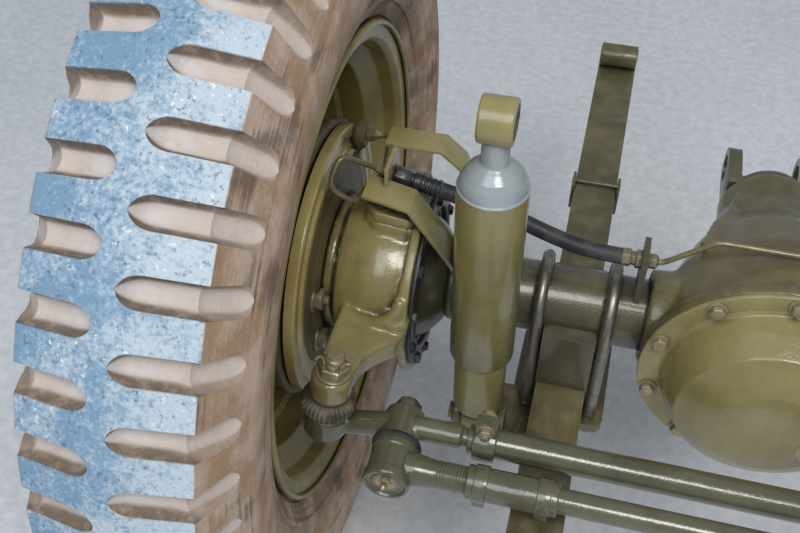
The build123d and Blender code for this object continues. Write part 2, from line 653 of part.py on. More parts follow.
def spindle():
    """Hollow spindle that carries the hub."""
    flange_x = KNUCKLE_FACE_X + BACKING_SHEET
    outline = [
        (SPINDLE_BORE_RADIUS, KNUCKLE_FACE_X - 6), (NECK_BORE_RADIUS - FIT, KNUCKLE_FACE_X - 6),
        (NECK_BORE_RADIUS - FIT, flange_x), (KNUCKLE_FLANGE_RADIUS - 4, flange_x),
        (KNUCKLE_FLANGE_RADIUS - 4, flange_x + SPINDLE_FLANGE_THICKNESS), (30, flange_x + SPINDLE_FLANGE_THICKNESS),
        (SPINDLE_RADIUS, flange_x + SPINDLE_FLANGE_THICKNESS + 6), (SPINDLE_RADIUS, SPINDLE_END_X - THREAD_LENGTH),
        (SPINDLE_RADIUS - THREAD_STEP, SPINDLE_END_X - THREAD_LENGTH), (SPINDLE_RADIUS - THREAD_STEP, SPINDLE_END_X),
        (SPINDLE_BORE_RADIUS, SPINDLE_END_X),
    ]
    return turned(outline, ALONG_X)


def backing_plate():
    """Pressed brake backing plate with its turned rim."""
    face = KNUCKLE_FACE_X
    bore = NECK_BORE_RADIUS
    sheet = BACKING_SHEET
    outline = [
        (bore, face), (66, face), (74, face + 5), (112, face + 5), (118, face + 3), (BACKING_RADIUS, face + 3),
        (BACKING_RADIUS, BACKING_RIM_X), (BACKING_RADIUS - sheet, BACKING_RIM_X),
        (BACKING_RADIUS - sheet, face + 3 + sheet), (118, face + 3 + sheet),
        (112, face + 5 + sheet), (73, face + 5 + sheet), (65, face + sheet), (bore, face + sheet),
    ]
    inlet_end = (face + sheet, *CYLINDER_INLET[1:])
    return turned(outline, ALONG_X) + bar(CYLINDER_INLET, inlet_end, INLET_BOSS_RADIUS)


def hub():
    """Hub with its wheel flange, studs and the driving flange on its nose."""
    inner_x = KNUCKLE_FACE_X + BACKING_SHEET + SPINDLE_FLANGE_THICKNESS + HUB_BEARING_GAP
    bore = SPINDLE_RADIUS + FIT
    small_bore = SPINDLE_RADIUS - THREAD_STEP + FIT
    step_x = SPINDLE_END_X - THREAD_LENGTH + 1
    flange_from = WEB_X - HUB_FLANGE_THICKNESS
    cap_x = HUB_END_X + DRIVE_FLANGE_THICKNESS
    outline = [
        (bore, inner_x), (HUB_BARREL_RADIUS, inner_x), (HUB_BARREL_RADIUS, flange_from - 6),
        (HUB_BARREL_RADIUS + 6, flange_from), (HUB_FLANGE_RADIUS, flange_from), (HUB_FLANGE_RADIUS, WEB_X),
        (HUB_BARREL_RADIUS, WEB_X), (HUB_NOSE_RADIUS, WEB_X + 10), (HUB_NOSE_RADIUS, HUB_END_X),
        (DRIVE_FLANGE_RADIUS, HUB_END_X), (DRIVE_FLANGE_RADIUS, cap_x), (HUB_CAP_RADIUS, cap_x),
        (HUB_CAP_RADIUS - 2, cap_x + 0.6 * HUB_CAP_HEIGHT), (HUB_CAP_RADIUS / 2, cap_x + HUB_CAP_HEIGHT),
        (0, cap_x + HUB_CAP_HEIGHT), (0, SPINDLE_END_X + 1), (small_bore, SPINDLE_END_X + 1), (small_bore, step_x),
        (bore, step_x),
    ]
    body = turned(outline, ALONG_X)
    disc_face = WEB_X + WEB_THICKNESS + DISC_SHEET
    for turn in range(WHEEL_STUDS):
        angle = radians(90 + turn * 360 / WHEEL_STUDS)
        y, z = STUD_CIRCLE_RADIUS * cos(angle), STUD_CIRCLE_RADIUS * sin(angle)
        body += bar((WEB_X - 1, y, z), (disc_face + WHEEL_STUD_TIP, y, z), WHEEL_STUD_RADIUS)
        nut_place = Plane(origin=(disc_face, y, z), x_dir=(0, 1, 0), z_dir=(1, 0, 0))
        body += hexagon(nut_place, WHEEL_NUT_RADIUS, WHEEL_NUT_HEIGHT)
    return body


def drilled(body, x_from, x_to):
    """Body with the wheel studs' holes through it."""
    for turn in range(WHEEL_STUDS):
        angle = radians(90 + turn * 360 / WHEEL_STUDS)
        y, z = STUD_CIRCLE_RADIUS * cos(angle), STUD_CIRCLE_RADIUS * sin(angle)
        body -= bar((x_from, y, z), (x_to, y, z), WHEEL_STUD_RADIUS + FIT)
    return body


def brake_drum():
    """Cast brake drum with a bead at its open edge."""
    wall_out = DRUM_RADIUS
    outline = [
        (DRUM_BORE_RADIUS, DRUM_OPEN_X), (wall_out, DRUM_OPEN_X), (wall_out + DRUM_BEAD, DRUM_OPEN_X + 3),
        (wall_out + DRUM_BEAD, DRUM_OPEN_X + 8), (wall_out, DRUM_OPEN_X + 11), (wall_out, WEB_X - 6),
        (wall_out - 8, WEB_X + WEB_THICKNESS), (HUB_BARREL_RADIUS + FIT, WEB_X + WEB_THICKNESS),
        (HUB_BARREL_RADIUS + FIT, WEB_X), (DRUM_BORE_RADIUS - 8, WEB_X), (DRUM_BORE_RADIUS, WEB_X - 8),
    ]
    return drilled(turned(outline, ALONG_X), WEB_X - 2, WEB_X + WEB_THICKNESS + 2)


def wheel_rim():
    """Drop-centre rim with its dished disc."""
    sheet = RIM_SHEET
    half = RIM_HALF_WIDTH
    well = RIM_SEAT_RADIUS - RIM_WELL_DEPTH
    lip = RIM_FLANGE_RADIUS
    disc_x = WEB_X + WEB_THICKNESS - WHEEL_X
    rim = [
        (lip - 5, -half - RIM_LIP), (lip, -half - RIM_LIP + 5), (lip, -half),
        (RIM_SEAT_RADIUS, -half + 2), (RIM_SEAT_RADIUS, -half + 20), (well, -half + 32),
        (well, half - 42), (RIM_SEAT_RADIUS, half - 22), (RIM_SEAT_RADIUS, half - 2),
        (lip, half), (lip, half + RIM_LIP - 5), (lip - 5, half + RIM_LIP),
        (lip - 7, half + 5), (RIM_SEAT_RADIUS - sheet, half + 1),
        (RIM_SEAT_RADIUS - sheet, half - 20), (well - sheet, half - 40),
        (well - sheet, -half + 30), (RIM_SEAT_RADIUS - sheet, -half + 18),
        (RIM_SEAT_RADIUS - sheet, -half - 1), (lip - 7, -half - 5),
    ]
    flat = STUD_CIRCLE_RADIUS + DISC_FLAT_MARGIN
    seam = well - sheet
    ridge = seam - DISC_RIDGE_INSET
    inner_seam = seam - DISC_SHEET
    disc = [
        (DISC_BORE_RADIUS, disc_x), (flat, disc_x), (flat + 16, disc_x + DISC_FOLD), (ridge, disc_x + DISC_FOLD),
        (seam - 15, disc_x - 2), (inner_seam, disc_x - 12), (inner_seam, disc_x - 9 - DISC_FLANGE_LENGTH),
        (seam + 1, disc_x - 9 - DISC_FLANGE_LENGTH), (seam + 1, disc_x - 9), (seam - 12, disc_x + 3),
        (ridge + 2, disc_x + DISC_FOLD + DISC_SHEET), (flat + 14, disc_x + DISC_FOLD + DISC_SHEET),
        (flat - 2, disc_x + DISC_SHEET), (DISC_BORE_RADIUS, disc_x + DISC_SHEET),
    ]
    place = Pos(WHEEL_X, 0, 0)
    body = place * turned(rim, ALONG_X) + place * turned(disc, ALONG_X)
    return drilled(body, WEB_X, WEB_X + 30)


def tyre_section(flat):
    """Half of the tyre's section round the bead, as (radius, x) of its corners; flats lie nearer by a factor."""
    seat = (RIM_SEAT_RADIUS + FIT) / flat
    lip = (RIM_FLANGE_RADIUS + BEAD_LIP_GAP) / flat
    rim_half = RIM_HALF_WIDTH - FIT
    shoulder = TYRE_RADIUS - TREAD_DROP
    widest = SECTION_HALF_WIDTH

    def up_wall(share):
        return lip + share * (shoulder - lip)

    return [
        (TYRE_RADIUS, 0), (shoulder, TREAD_HALF_WIDTH), (up_wall(0.49), widest), (up_wall(0.15), widest - 9),
        (lip, rim_half), (seat, rim_half - 2), (seat, rim_half - BEAD_WIDTH),
        (up_wall(0.54), widest - TYRE_WALL), (TYRE_RADIUS - CROWN_THICKNESS, 0),
    ]


def tyre_pitch(half_turn):
    """One pitch of the tyre about the Z axis: a straight piece of its section with both grooves cut."""
    flat = cos(radians(half_turn))
    half_length = TYRE_RADIUS * tan(radians(half_turn))
    right = [(x, radius * flat) for radius, x in tyre_section(flat)]
    left = [(-x, radius) for x, radius in reversed(right[1:-1])]
    section = make_face(Plane.XZ * Polyline(*right, *left, close=True))
    wedge = Polyline((0, 0), (2 * half_length, 2 * TYRE_RADIUS), (-2 * half_length, 2 * TYRE_RADIUS), close=True)
    body = extrude(section, 2 * half_length, both=True)
    body = body & extrude(make_face(Plane.YZ * wedge), SECTION_HALF_WIDTH + 1, both=True)
    floor_centre = TYRE_RADIUS * flat - GROOVE_DEPTH
    outside_x = SECTION_HALF_WIDTH + 5
    outside_radius = TYRE_RADIUS + 10
    for side in (-1, 1):
        groove = Polyline(
            (side * GROOVE_START, outside_radius), (side * GROOVE_START, TYRE_RADIUS),
            (side * (GROOVE_START + GROOVE_END_SLOPE), floor_centre),
            (side * outside_x, floor_centre - GROOVE_END_DROP), (side * outside_x, outside_radius), close=True)
        cut = extrude(make_face(Plane.XZ * groove), half_length * GROOVE_SHARE, both=True)
        body -= Rot(side * half_turn / 2, 0, 0) * cut
    return body.solids()[0]


def tyre():
    """Lugged tyre with an open inside: the skin of one pitch repeated round the wheel."""
    half_turn = 180 / LUG_PITCHES
    skin = []
    for face in tyre_pitch(half_turn).faces():
        centre = face.center()
        off_cut = abs(degrees(atan2(centre.Y, centre.Z))) - half_turn
        if abs(off_cut) > 0.01:
            skin.append(face)
    pitches = [Rot(2 * half_turn * turn - TREAD_TURN, 0, 0) * face for turn in range(LUG_PITCHES) for face in skin]
    return Pos(WHEEL_X, 0, 0) * Solid(Shell(pitches))


def stud():
    """Ball stud through the steering arm's eye with its castle nut."""
    top = ARM_EYE_BOTTOM + ARM_EYE_HEIGHT
    ball_z = ball_height()
    end = top + CASTLE_NUT_HEIGHT + STUD_TIP
    pin = [(0, ball_z), (STUD_RADIUS - 2, ball_z), (STUD_RADIUS, ARM_EYE_BOTTOM), (STUD_RADIUS, end), (0, end)]
    body = turned(pin, Plane.XY) + Pos(0, 0, ball_z) * Sphere(STUD_BALL_RADIUS)
    body += hexagon(Plane(origin=(0, 0, top)), CASTLE_NUT_RADIUS, CASTLE_NUT_HEIGHT)
    return KINGPIN * Pos(*ARM_EYE, 0) * body


def boot():
    """Fluted dust boot between the arm's eye and the socket."""
    top = ARM_EYE_BOTTOM - BOOT_GAP
    bore = STUD_RADIUS + STUD_PLAY
    low = top - BOOT_HEIGHT
    outline = [(bore, top), (BOOT_RADIUS - 2, top), (BOOT_RADIUS, top - 6), (BOOT_RADIUS + 3, low), (bore, low)]
    return KINGPIN * Pos(*ARM_EYE, 0) * turned(outline, Plane.XY)


def ball_height():
    """Height of the stud's ball in the kingpin's frame, at the middle of its socket."""
    return ARM_EYE_BOTTOM - BOOT_GAP - BOOT_HEIGHT - SOCKET_HEIGHT / 2


def tie_rod_end(with_link_eye, ball_play):
    """Socket of the tie rod with its shank; the right one also carries the drag link's eye."""
    top = ARM_EYE_BOTTOM - BOOT_GAP - BOOT_HEIGHT
    low = top - SOCKET_HEIGHT
    outline = [
        (0, low), (SOCKET_RADIUS - 6, low), (SOCKET_RADIUS, low + 5), (SOCKET_RADIUS, top - 5),
        (SOCKET_RADIUS - 3, top), (STUD_RADIUS + STUD_PLAY, top), (STUD_RADIUS + STUD_PLAY, top - 6), (0, top - 6),
    ]
    body = KINGPIN * Pos(*ARM_EYE, 0) * turned(outline, Plane.XY)
    centre = (KINGPIN * Pos(*ARM_EYE, ball_height())).position
    start = (centre.X - SHANK_START_X, centre.Y, centre.Z - SHANK_START_DROP)
    low_bend = (LINK_EYE_X + SHANK_BEND_X, ROD_Y, ROD_Z - SHANK_DROP)
    bend = (LINK_EYE_X - SHANK_STRAIGHT_X, ROD_Y, ROD_Z)
    body += bar(start, low_bend, SHANK_RADIUS) + Pos(*low_bend) * Sphere(SHANK_RADIUS)
    body += bar(low_bend, bend, SHANK_RADIUS) + Pos(*bend) * Sphere(SHANK_RADIUS)
    body += bar(bend, (ROD_END_X - SHANK_OVERLAP, ROD_Y, ROD_Z), SHANK_RADIUS - SHANK_SINK)
    body += bar(bend, (ROD_END_X + SHANK_SHOWN, ROD_Y, ROD_Z), SHANK_RADIUS)
    if with_link_eye:
        half = LINK_EYE_LENGTH / 2
        eye = bar((LINK_EYE_X, ROD_Y + half, LINK_Z), (LINK_EYE_X, ROD_Y - half, LINK_Z), LINK_EYE_RADIUS)
        body += eye
        body -= bar(
            (LINK_EYE_X, ROD_Y + half + 1, LINK_Z), (LINK_EYE_X, ROD_Y - half - 1, LINK_Z), LINK_STUD_RADIUS + FIT
        )
    return body - Pos(centre) * Sphere(STUD_BALL_RADIUS + ball_play)


def tie_rod_tube():
    """Tie rod tube with a clamp at each end."""
    end = ROD_END_X
    bore = SHANK_RADIUS - SHANK_SINK + FIT
    tube = bar((-end, ROD_Y, ROD_Z), (end, ROD_Y, ROD_Z), ROD_RADIUS)
    lug_z = ROD_Z + CLAMP_RADIUS + CLAMP_LUG[2] / 2 - 3
    for side in (-1, 1):
        clamp_x = side * (end - CLAMP_OFFSET)
        half = CLAMP_LENGTH / 2
        tube += bar((clamp_x - half, ROD_Y, ROD_Z), (clamp_x + half, ROD_Y, ROD_Z), CLAMP_RADIUS)
        tube += Pos(clamp_x, ROD_Y, lug_z) * Box(*CLAMP_LUG)
    return tube - bar((-end - 1, ROD_Y, ROD_Z), (end + 1, ROD_Y, ROD_Z), bore)


def drag_link_rod():
    """Drag link from the right tie rod end across towards the steering box."""
    near = -(LINK_EYE_X - LINK_SOCKET_RADIUS + 6)
    far = LINK_FAR_X - LINK_SOCKET_RADIUS + 6
    sleeve_from, sleeve_to = (near + reach for reach in SLEEVE_SPAN)
    rod = bar((near, LINK_Y, LINK_Z), (far, LINK_Y, LINK_Z), LINK_RADIUS)
    rod += bar((sleeve_from, LINK_Y, LINK_Z), (sleeve_to, LINK_Y, LINK_Z), SLEEVE_RADIUS)
    for x_end in (-LINK_EYE_X, LINK_FAR_X):
        half = LINK_SOCKET_LENGTH / 2
        rod += bar((x_end, LINK_Y + half, LINK_Z), (x_end, LINK_Y - half, LINK_Z), LINK_SOCKET_RADIUS)
    half = LINK_SOCKET_LENGTH / 2
    rod -= bar((LINK_FAR_X, LINK_Y + half + 1, LINK_Z), (LINK_FAR_X, LINK_Y - half - 1, LINK_Z), LINK_STUD_RADIUS)
    rod -= bar((-LINK_EYE_X, LINK_Y + half + 1, LINK_Z), (-LINK_EYE_X, LINK_Y, LINK_Z), LINK_STUD_RADIUS + FIT)
    return rod


def drag_link_stud():
    """Stud of the drag link's near joint, through the tie rod end's eye."""
    rear = ROD_Y + LINK_EYE_LENGTH / 2
    end_y = rear + LINK_STUD_NUT_HEIGHT + LINK_STUD_TIP
    shank = bar((-LINK_EYE_X, LINK_Y + RUNNING_GAP, LINK_Z), (-LINK_EYE_X, end_y, LINK_Z), LINK_STUD_RADIUS)
    nut_place = Plane(origin=(-LINK_EYE_X, rear, LINK_Z), x_dir=(1, 0, 0), z_dir=(0, 1, 0))
    return shank + hexagon(nut_place, LINK_STUD_NUT_RADIUS, LINK_STUD_NUT_HEIGHT)


def hose_guard():
    """Guard hoop over the brake hose: two bent straps, their bracket on the upper cap and an inboard bridge."""
    straps = []
    for y_front, y_back, line in GUARD_STRAPS:
        plane = Plane(origin=(0, y_back, 0), x_dir=(1, 0, 0), z_dir=(0, -1, 0))
        straps.append(extrude(plane * strip_outline(line, GUARD_SHEET), y_back - y_front))
    guard = straps[0] + straps[1]
    (front_y, _, front_line), (_, back_y, back_line) = GUARD_STRAPS
    bridge_x, bridge_low = front_line[-1]
    bridge_high = bridge_low + GUARD_BRIDGE_HEIGHT
    guard += Pos(bridge_x, (front_y + back_y) / 2, (bridge_low + bridge_high) / 2) * Box(
        GUARD_SHEET, back_y - front_y, bridge_high - bridge_low + GUARD_SHEET)
    foot_z = PIN_BOSS_HEIGHT
    top_z = back_line[0][1]
    bracket_y = (GUARD_STRAPS[0][1] - 10, GUARD_STRAPS[1][0] + 10)
    guard += Pos(GUARD_BRACKET_X, sum(bracket_y) / 2, (foot_z + top_z) / 2) * Box(
        GUARD_SHEET, bracket_y[1] - bracket_y[0], top_z - foot_z)
    start = FITTING_LINE[0]
    guard -= KINGPIN * Pos(0, 0, foot_z - CAP_THICKNESS) * extrude(cap_outline(CAP_POCKET_GAP), 2 * CAP_THICKNESS)
    return guard - bar((start[0] + 10, *start[1:]), (start[0] - 1, *start[1:]), PIPE_RADIUS + 4.5)


def brake_pipe_knuckle():
    """Steel brake pipe from the hose's end fitting round a loop to the wheel cylinder's inlet."""
    start, middle, end = FITTING_LINE
    fitting = bar(middle, end, FERRULE_RADIUS)
    axis = Plane(origin=middle, z_dir=Vector(*start) - Vector(*middle))
    length = (Vector(*start) - Vector(*middle)).length - GUARD_SHEET
    fitting += extrude(axis * RegularPolygon(FITTING_RADIUS, 6), length)
    fitting += bar(middle, PIPE_LOOP[0], PIPE_RADIUS + 3.5)
    return fitting + pipe(PIPE_LOOP, PIPE_BEND, PIPE_RADIUS)


def brake_pipe_axle():
    """Steel pipes from a tee on the axle to both hose brackets."""
    rest_z = TUBE_RADIUS + FIT + PIPE_RADIUS
    tee_z = rest_z + TEE_SIZE[2] / 2 - PIPE_RADIUS
    end_x = TEE_SIZE[0] / 2 - 4
    neck_z = rest_z + TEE_NECK_HEIGHT
    tee = Pos(TEE_X, 0, tee_z) * Box(*TEE_SIZE)
    tee += bar((TEE_X, 0, tee_z), (TEE_X, 0, neck_z), TEE_NECK_RADIUS)
    tee -= bar((TEE_X, 0, neck_z - 12), (TEE_X, 0, neck_z + 1), TEE_BORE_RADIUS)
    back_x = HOSE_BRACKET_X - PIPE_STRAIGHT_X
    z = HOSE_FITTING_Z
    left = [(TEE_X + end_x, 0, rest_z), (back_x - PIPE_RISE_X, 0, rest_z), (back_x, 0, z), (HOSE_BRACKET_X, 0, z)]
    right = [(TEE_X - end_x, 0, rest_z), (TEE_X - end_x - PIPE_STRAIGHT_X, 0, rest_z),
             (DIFFERENTIAL_X + PIPE_OVER_HALF, 0, PIPE_OVER_Z), (DIFFERENTIAL_X - PIPE_OVER_HALF, 0, PIPE_OVER_Z),
             (-back_x, 0, z), (-HOSE_BRACKET_X, 0, z)]
    lines = tee + pipe(left, PIPE_BEND, PIPE_RADIUS) + pipe(right, PIPE_BEND, PIPE_RADIUS)
    outer = HOSE_BRACKET_X + HOSE_BRACKET_SHEET / 2
    inner = HOSE_BRACKET_X - HOSE_BRACKET_SHEET / 2
    for side in (-1, 1):
        lines += bar((side * (inner - FLARE_NUT_LENGTH), 0, z), (side * inner, 0, z), FLARE_NUT_RADIUS)
        lines += bar((side * (inner - 1), 0, z), (side * (outer + 1), 0, z), BRACKET_HOLE_RADIUS - FIT)
        lines += bar((side * outer, 0, z), (side * HOSE_ROUTE[-1][0], 0, z), FERRULE_RADIUS)
    return lines


def route_radii(points):
    """Arc radius at each corner of a route, as large as its two runs allow."""
    radii = []
    for before, corner, after in zip(points, points[1:], points[2:]):
        run_in = Vector(*corner) - Vector(*before)
        run_out = Vector(*after) - Vector(*corner)
        turn = radians(run_in.get_angle(run_out))
        radii.append(0.45 * min(run_in.length, run_out.length) / tan(turn / 2))
    return radii


def brake_hose():
    """Brake hose from the knuckle's fitting over the spring to the axle's bracket."""
    radii = route_radii(HOSE_ROUTE)
    path = FilletPolyline(*HOSE_ROUTE, radius=radii)
    section = Plane(origin=path @ 0, z_dir=path % 0) * Circle(HOSE_RADIUS)
    print("brake hose: length", round(path.length, 1), "radii", [round(radius) for radius in radii])
    return sweep(section, path=path)


SIDED = {
    "knuckle": knuckle,
    "kingpin_caps": kingpin_caps,
    "seal_ring": seal_ring,
    "spindle": spindle,
    "backing_plate": backing_plate,
    "wheel_hub": hub,
    "brake_drum": brake_drum,
    "wheel_rim": wheel_rim,
    "tyre": tyre,
    "leaf_spring": leaf_spring,
    "u_bolts": u_bolts,
    "spring_plate": spring_plate,
    "damper_tube": damper_tube,
    "damper_cover": damper_cover,
    "arm_stud": stud,
    "hose_guard": hose_guard,
    "brake_pipe_knuckle": brake_pipe_knuckle,
    "brake_hose": brake_hose,
}
CENTRAL = {
    "differential_housing": differential_housing,
    "differential_cover": differential_cover,
    "pinion_yoke": pinion_yoke,
    "tie_rod_tube": tie_rod_tube,
    "drag_link_rod": drag_link_rod,
    "drag_link_stud": drag_link_stud,
    "brake_pipe_axle": brake_pipe_axle,
}


def write(name, shape):
    """Write one node."""
    shape.label = name
    export_step(shape, os.path.join(OUTPUT, name + ".step"))


os.makedirs("parts", exist_ok=True)
for name, make in CENTRAL.items():
    write(name, make())
for name, make in SIDED.items():
    left = make()
    write(name + "_left", left)
    write(name + "_right", mirror(left, about=Plane.YZ))
tube_left = axle_tube(DIFFERENTIAL_X + NECK_REACH - TUBE_SEAT)
tube_right = axle_tube(-DIFFERENTIAL_X + NECK_REACH - TUBE_SEAT)
write("axle_tube_left", tube_left)
write("axle_tube_right", mirror(tube_right, about=Plane.YZ))
end_left = tie_rod_end(False, OPEN_SOCKET_PLAY)
end_right = tie_rod_end(True, FIT)
write("tie_rod_end_left", end_left)
write("tie_rod_end_right", mirror(end_right, about=Plane.YZ))
boot_left = boot()
write("tie_rod_boots", Compound([boot_left, mirror(boot_left, about=Plane.YZ)]))
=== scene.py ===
"""Looks of a light 4x4's front driving axle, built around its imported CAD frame."""
import logging
from dataclasses import dataclass, field
from enum import Enum
from math import cos, pi, radians, sin, sqrt, tan
from typing import Any, Iterable, Sequence

import bmesh
import bpy
from mathutils import Matrix, Vector


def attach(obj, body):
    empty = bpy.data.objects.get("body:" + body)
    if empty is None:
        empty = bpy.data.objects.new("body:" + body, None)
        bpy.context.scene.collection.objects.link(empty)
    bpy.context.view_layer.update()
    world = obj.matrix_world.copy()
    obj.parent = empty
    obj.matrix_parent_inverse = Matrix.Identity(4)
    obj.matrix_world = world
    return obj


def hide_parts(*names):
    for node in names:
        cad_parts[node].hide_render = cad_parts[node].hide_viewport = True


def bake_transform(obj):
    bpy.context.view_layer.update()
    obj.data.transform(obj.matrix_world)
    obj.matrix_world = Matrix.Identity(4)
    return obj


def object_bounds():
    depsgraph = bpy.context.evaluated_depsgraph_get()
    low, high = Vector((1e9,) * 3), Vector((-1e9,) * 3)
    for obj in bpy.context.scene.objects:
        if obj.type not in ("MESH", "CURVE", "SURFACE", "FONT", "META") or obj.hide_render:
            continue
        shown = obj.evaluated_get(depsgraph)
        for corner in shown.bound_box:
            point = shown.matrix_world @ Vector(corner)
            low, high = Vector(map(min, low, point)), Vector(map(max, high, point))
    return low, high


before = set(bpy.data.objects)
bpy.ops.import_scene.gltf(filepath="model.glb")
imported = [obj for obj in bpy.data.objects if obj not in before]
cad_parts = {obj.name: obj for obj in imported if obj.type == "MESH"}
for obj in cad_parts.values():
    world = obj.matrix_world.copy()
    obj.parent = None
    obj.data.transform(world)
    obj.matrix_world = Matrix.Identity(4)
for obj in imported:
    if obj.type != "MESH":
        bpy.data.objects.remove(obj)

log = logging.getLogger("axle")
CAD_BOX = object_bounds()
MM = 0.001
Colour = tuple[float, float, float]
Point = Sequence[float]
Outline = Sequence[Sequence[float]]


class Side(Enum):
    """The axle's two ends; the value is the sign of X."""

    RIGHT = -1
    LEFT = 1

    @property
    def word(self) -> str:
        """Ending of a node's or body's name."""
        return self.name.lower()


# Shader building

# A mix node has one socket of each kind; these are the colour's.
MIX_FACTOR, MIX_FIRST, MIX_SECOND = 0, 6, 7
MIX_RESULT = 2


class Value:
    """A shader socket that takes Python's arithmetic."""

    def __init__(self, shader: "Shader", socket: bpy.types.NodeSocket) -> None:
        """Wrap a socket.

        Args:
            shader: The shader that holds the socket.
            socket: The output socket.
        """
        self.shader = shader
        self.socket = socket

    def _math(self, operation: str, *operands: Any) -> "Value":
        """Math node on these operands.

        Args:
            operation: The node's operation.
            operands: Values or numbers, in the node's order.

        Returns:
            The result.
        """
        node = self.shader.node("ShaderNodeMath", {"operation": operation},
                                dict(enumerate(operands)))
        return Value(self.shader, node.outputs[0])

    def __add__(self, other: Any) -> "Value":
        """Sum."""
        return self._math("ADD", self, other)

    __radd__ = __add__

    def __sub__(self, other: Any) -> "Value":
        """Difference."""
        return self._math("SUBTRACT", self, other)

    def __rsub__(self, other: Any) -> "Value":
        """Difference the other way round."""
        return self._math("SUBTRACT", other, self)

    def __mul__(self, other: Any) -> "Value":
        """Product."""
        return self._math("MULTIPLY", self, other)

    __rmul__ = __mul__

    def __abs__(self) -> "Value":
        """Size without its sign."""
        return self._math("ABSOLUTE", self)

    def root(self) -> "Value":
        """Square root."""
        return self._math("SQRT", self)

    def step(self, low: float, high: float) -> "Value":
        """Smooth rise from 0 at low to 1 at high.

        Args:
            low: Where the rise starts; above high it is a fall.
            high: Where it ends.

        Returns:
            The mask.
        """
        turned = low > high
        inputs = {"Value": self, "From Min": min(low, high), "From Max": max(low, high)}
        node = self.shader.node("ShaderNodeMapRange", {"interpolation_type": "SMOOTHSTEP"}, inputs)
        mask = Value(self.shader, node.outputs["Result"])
        return 1 - mask if turned else mask


